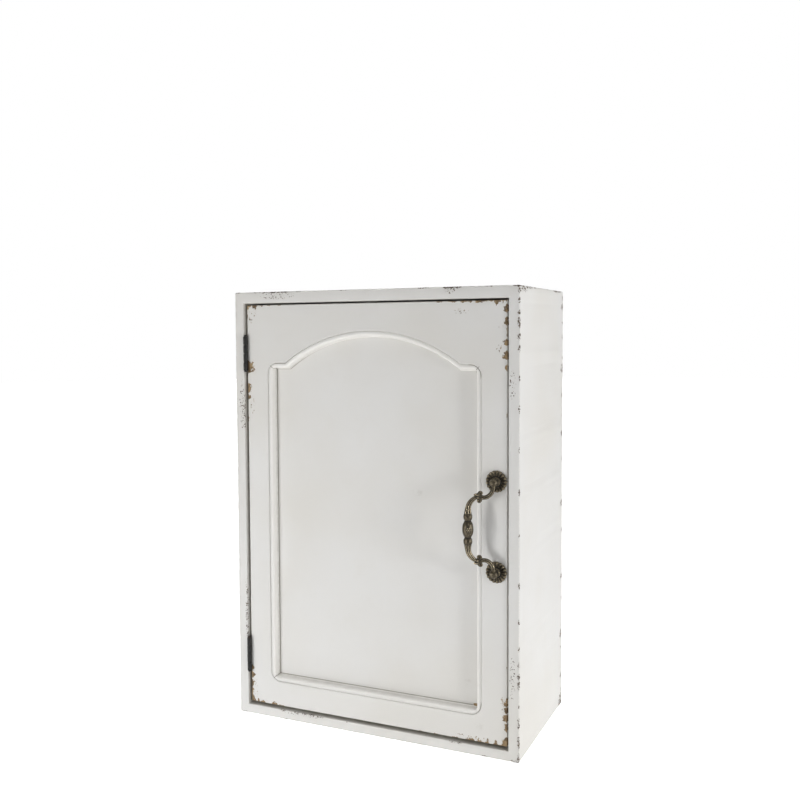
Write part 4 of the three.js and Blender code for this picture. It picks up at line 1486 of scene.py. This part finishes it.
def add_posts(brass):
    """Turned posts with a domed boss, bored for the bail's pivot."""
    for place, inward in (("upper", -1), ("lower", 1)):
        node = f"handle_post_{place}"
        low, high = box_mm(node)
        z = (low.z + high.z) / 2
        long = high.y - low.y
        profile = smooth_profile([
            (0, 0), (4.3, 0), (4.45, 0.5), (4.1, 1.1), (3.2, 1.8), (3.1, 2.6), (3.7, 3.4),
            (4.15, 4.6), (4.2, 7.6), (4.05, 8.6), (3.5, 9.0), (3.45, 9.3), (3.6, 9.7),
            (3.2, 10.5), (2.2, long - 0.25), (0.9, long - 0.02), (0, long),
        ])
        mesh = to_mesh(turned(profile, 40), node, 60)
        mesh.transform(aimed((SWING.x, high.y, z), (0, -1, 0)))
        bore = to_mesh(turned([(0, 0), (2.0, 0), (2.0, 7), (0, 7)], 28), "bore")
        bore.transform(aimed((SWING.x, SWING.y, z - inward * 0.5), (0, 0, inward)))
        mesh = cast(without(mesh, [bore]))
        stand_in(node, mesh, "door", "antique_brass", brass)


def sweep(route, sides=16, ribs=0, steps=7):
    """A closed tube in the bail's plane along (reach, height, radius, rib depth)."""
    line = along(route, steps)
    rings = []
    for index, (reach, height, radius, deep) in enumerate(line):
        before, after = line[max(index - 1, 0)], line[min(index + 1, len(line) - 1)]
        way = Vector((after[0] - before[0], 0, after[1] - before[1])).normalized()
        across = Vector((-way.z, 0, way.x))
        ring = []
        for k in range(sides):
            angle = 2 * math.pi * k / sides
            r = max(radius, 0.1) * (1 + deep * (abs(math.cos(ribs * angle / 2)) - 0.6))
            offset = across * (r * math.cos(angle)) + Vector((0, r * math.sin(angle), 0))
            ring.append(Vector((reach, 0, height)) + offset)
        rings.append(ring)
    return loft(rings, wrap=False)


def pebble(at, size, turn=0.0):
    """A small smooth egg: half sizes along reach, out of the plane and height."""
    bm = bmesh.new()
    bmesh.ops.create_icosphere(bm, subdivisions=3, radius=1)
    shape = Matrix.Translation(at) @ Matrix.Rotation(turn, 4, "Y") @ Matrix.Diagonal((*size, 1))
    bm.transform(shape)
    return bm


def scroll(route, centre, start, turn, radii, tubes):
    """A route that ends in a curl: points round a centre from an angle, by a turn for
    each, at the given radii and tube radii."""
    points = list(route)
    for i, (radius, tube) in enumerate(zip(radii, tubes)):
        angle = math.radians(start + turn * i)
        x = centre[0] + radius * math.cos(angle)
        points.append((x, centre[1] + radius * math.sin(angle), tube, 0))
    return points


def bail_arm():
    """The upper arm: a hook from the post that curls over, the fluted branch from the
    grip that curls under it, and a leaf at their crossing."""
    hook = scroll(
        [(0, 44.2, 1.95, 0), (0.5, 41.2, 2.1, 0.2), (2.4, 36.9, 2.1, 0.3),
         (6.3, 33.6, 2.1, 0.3), (10.6, 32.9, 2.05, 0.25)],
        (13.0, 37.0), -62, 62, (2.6, 1.9, 1.5, 1.2, 0.8, 0.3), (1.9, 1.7, 1.55, 1.4, 1.2, 1.0),
    )
    branch = scroll(
        [(BAIL_REACH, 14.5, 3.9, 0), (BAIL_REACH, 17.3, 3.3, 0.35), (26.4, 20.6, 2.7, 0.5),
         (25.5, 25.0, 2.45, 0.5), (23.2, 28.9, 2.3, 0.45), (19.8, 32.0, 2.0, 0.4)],
        (15.2, 29.9), 64, 62, (3.6, 2.4, 1.9, 1.5, 1.1, 0.7, 0.3),
        (1.9, 1.8, 1.6, 1.45, 1.3, 1.2, 1.0),
    )
    leaf = [
        (14.6, 34.0, 1.3, 0), (16.4, 34.9, 2.0, 0.3), (18.0, 35.4, 1.9, 0.4),
        (19.4, 35.8, 1.3, 0.4), (20.4, 36.2, 0.5, 0),
    ]
    under = [(13.4, 31.8, 1.3, 0), (12.6, 30.8, 1.3, 0), (12.2, 30.0, 0.7, 0)]
    pivot = [(0, 43.5, 1.55, 0), (0, 45, 1.55, 0), (0, 46.4, 1.5, 0)]
    return [
        sweep(hook, sides=24, ribs=6), sweep(branch, sides=32, ribs=8),
        sweep(leaf, sides=20, ribs=5), sweep(under), sweep(pivot),
        pebble((16.6, 0, 33.0), (2.3, 2.4, 2.0)),
    ]


def grip_radius(angle, height):
    """Flutes that start past the bulbs beside the grip."""
    flute = min(max((abs(height) - 13.6) / 1.5, 0), 1)
    return 1 + 0.055 * flute * (abs(math.cos(6 * angle)) - 0.6)


def grip_parts():
    """The oval grip with a flower and leaves raised on its front, between two bulbs."""
    upper = [
        (5.85, 0), (5.75, 2.4), (5.25, 4.9), (4.3, 7.0), (3.55, 8.3), (3.35, 8.8),
        (3.6, 9.3), (4.25, 10.6), (4.6, 12.2), (4.65, 13.3), (4.3, 14.9), (3.6, 16.3),
        (3.2, 17.3), (0, 17.6),
    ]
    lower = [(r, -h) for r, h in reversed(upper[1:])]
    body = turned(smooth_profile(lower + upper, 5), 72, grip_radius)
    body.transform(Matrix.Translation((BAIL_REACH, 0, 0)))

    def on_grip(across, height, size, turn, proud=0.0):
        curve = 5.85 * math.sqrt(max(1 - (height / 10.2) ** 2, 0.05))
        out = math.sqrt(max(curve**2 - across**2, 0.1)) + proud
        return pebble((BAIL_REACH + across, out, height), size, turn)

    parts = [body, on_grip(0, 0, (0.7, 0.8, 0.7), 0, 0.15)]
    for k in range(6):
        angle = math.pi / 3 * k
        x, z = 1.75 * math.cos(angle), 1.75 * math.sin(angle)
        parts.append(on_grip(x, z, (0.85, 0.8, 0.62), -angle, 0.15))
    for end in (1, -1):
        for across, height, turn in ((0, 5.2, 90), (-2.3, 4.4, 58), (2.3, 4.4, 122)):
            tilt = -math.radians(turn) * end
            parts.append(on_grip(across, end * height, (1.2, 0.42, 0.42), tilt, -0.1))
    return parts


def add_bail(brass):
    """The whole bail as one cast piece, leaned off the door as it hangs."""
    flip = Matrix.Diagonal((1, 1, -1, 1))
    parts = [(part, Matrix()) for part in grip_parts() + bail_arm()]
    parts += [(part, flip) for part in bail_arm()]
    bail = cast(to_mesh(merge(parts), "handle_bail", 60))
    bail.transform(Matrix.Rotation(math.radians(180 + BAIL_LEAN), 4, "Z"))
    bail.transform(Matrix.Translation(SWING * MM))
    stand_in("handle_bail", bail, "bail", "antique_brass", brass)


# ---------------------------------------------------------------------------- assembly


def main():
    add_camera()
    add_world()
    for name, light in LIGHTS.items():
        add_softbox(name, **light)
    add_floor()
    carcass, door, inner = carcass_paint(), door_paint(), inside_paint()
    board, brass, iron = hardboard(), antique_brass(), black_iron()
    steel, plastic = zinc_steel(), white_plastic()
    add_carcass(carcass)
    add_inner_boards(inner)
    add_back(board, steel)
    add_door_frame(door)
    add_beads(door)
    add_panel(door)
    add_hinges(iron)
    add_screws(iron, steel)
    add_fittings(steel, plastic)
    add_rosettes(brass)
    add_posts(brass)
    add_bail(brass)


scene.view_settings.view_transform = "Standard"
main()

sizes = {"cad": cad_box, "visual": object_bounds()}
plain = {key: [list(map(float, corner)) for corner in box] for key, box in sizes.items()}
